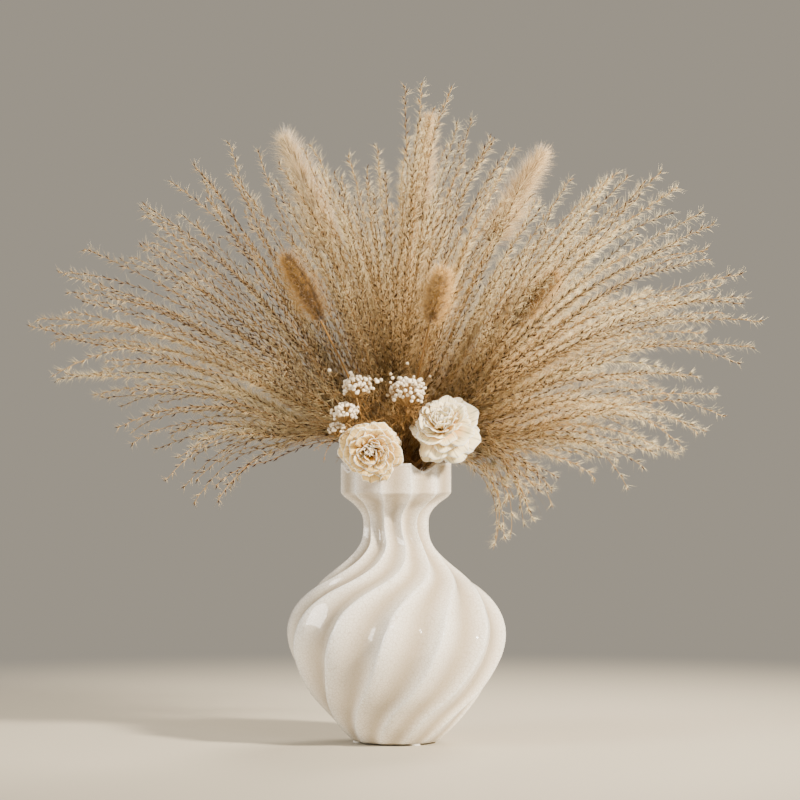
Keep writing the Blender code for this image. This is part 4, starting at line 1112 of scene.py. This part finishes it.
# Twigs curve from their fork to each bud: start, a point halfway pushed outwards, and the bud
def makeBudSprays():
    s = budSprays
    rng = np.random.default_rng(s["seed"])
    # buds: chalky cream beads, tan towards their undersides and whiter towards their tops
    chalk = strawMaterial("dried white bud", bandOf(0, 3), "#dfc9a0", "#fff4dc", "#bf9a66",
                          "#fffaee", 0.6, 0.5, 0.8, 0.2)
    # twigs: tan and dull; side twigs: darker and withered
    twig = strawMaterial("dried bud twig", bandOf(1, 3), "#8f6c3a", "#c09a60", "#6f4f28", "#c2a068",
                         0.3, 0.2, 0.65, 0.0)
    wisp = strawMaterial("withered side twig", bandOf(2, 3), "#5f4420", "#ac8450", "#4d3518",
                         "#bb9560", 0.4, 0.3, 0.65, 0.0)
    for name, (stand, fork, heads) in s["sprays"].items():
        foot = np.array([stand[0] * mm, stand[1] * mm, fountainShape["foot"]])
        neck = np.array([stand[0] * mm, stand[1] * mm, s["neck"]])
        fork = np.array(fork) * mm
        bend = neck + 0.6 * (fork - neck) + [0, 0, s["arch"]]
        t = np.linspace(0, 1, 14)[:, None]
        rise = arcOver(neck, bend * 2 - (neck + fork) / 2, fork, t)
        path = np.concatenate([foot[None], rise])
        lots = [(*tubes(path[None], np.full((1, len(path)), s["stem"]), 8, np.array([0.4])), 1)]
        carries = [rise[5:]]
        for middle, radius, count in heads:
            middle, radius = np.array(middle) * mm, radius * mm
            gather = middle - [0, 0, 0.7 * radius]
            half = (fork + gather) / 2 + [0, s["arch"], 0]
            branch = arcOver(fork, half, gather, t)
            carries.append(branch[2:])
            lots.append((*tubes(branch[None], np.full((1, len(t)), s["branch"]), 6,
                                np.array([0.5])), 1))
            k = np.arange(count)
            up = 1 - (1 - s["lowest"]) * (k + 0.5) / count + rng.uniform(-0.05, 0.05, count)
            up = np.clip(up, -0.95, 0.98)
            flat = np.sqrt(1 - up * up)
            turn = 2 * math.pi * golden * k + rng.normal(0, 0.25, count)
            way = np.stack([flat * np.cos(turn), flat * np.sin(turn), 0.85 * up], 1)
            tuft = 1 + 0.2 * np.sin(3 * turn + 2 * up) * flat  # heads are a few tufts, not one ball
            seat = radius * s["seat"] * tuft * rng.uniform(0.78, 1.08, count)
            place = middle + way * seat[:, None]
            size = rng.uniform(*s["budRadius"], count)
            tone = rng.uniform(0.1, 1, count) ** 0.7
            lots.append((*balls(place, size, 2, tone, 0.06), 0))
            arch = (gather + place) / 2 + way * 0.15 * radius
            twigs = arcOver(gather, arch[:, None], place[:, None],
                            np.linspace(0, 1, 5)[None, :, None])
            lots.append((*tubes(twigs, np.full((count, 5), s["twig"]), 3, tone * 0.6), 1))
        carries = np.concatenate(carries)
        starts = carries[rng.integers(0, len(carries), s["wisps"])]
        wisps, lone = wispsFrom(starts, rng)
        lots += [(*lot, 2) for lot in wisps] + [(*lone, 0)]
        buildPiece(name + "_dried", lots, [chalk, twig, wisp], [name])


makeBudSprays()


# Clear soft pads under the foot: colourless plastic that takes on what it stands on
def makePads():
    material, tree, shader = newMaterial("clear cast silicone", {
        "Base Color": linearColour("#f2f0ea"), "Roughness": 0.25, "IOR": 1.41,
        "Transmission Weight": 0.25})
    place = addNode(tree, "ShaderNodeTexCoord").outputs["Object"]
    grain = addNode(tree, "ShaderNodeTexNoise", values={"Scale": 1 / (0.8 * mm), "Detail": 2},
                    links={"Vector": place})
    bump = addNode(tree, "ShaderNodeBump", values={"Strength": 0.1, "Distance": 0.1 * mm},
                   links={"Height": grain.outputs["Fac"]})
    tree.links.new(bump.outputs["Normal"], shader.inputs["Normal"])
    for name in ("pad_left", "pad_front", "pad_back"):
        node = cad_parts[name]
        for slot in node.material_slots:
            slot.material = material
    print("pads made clear")


makePads()
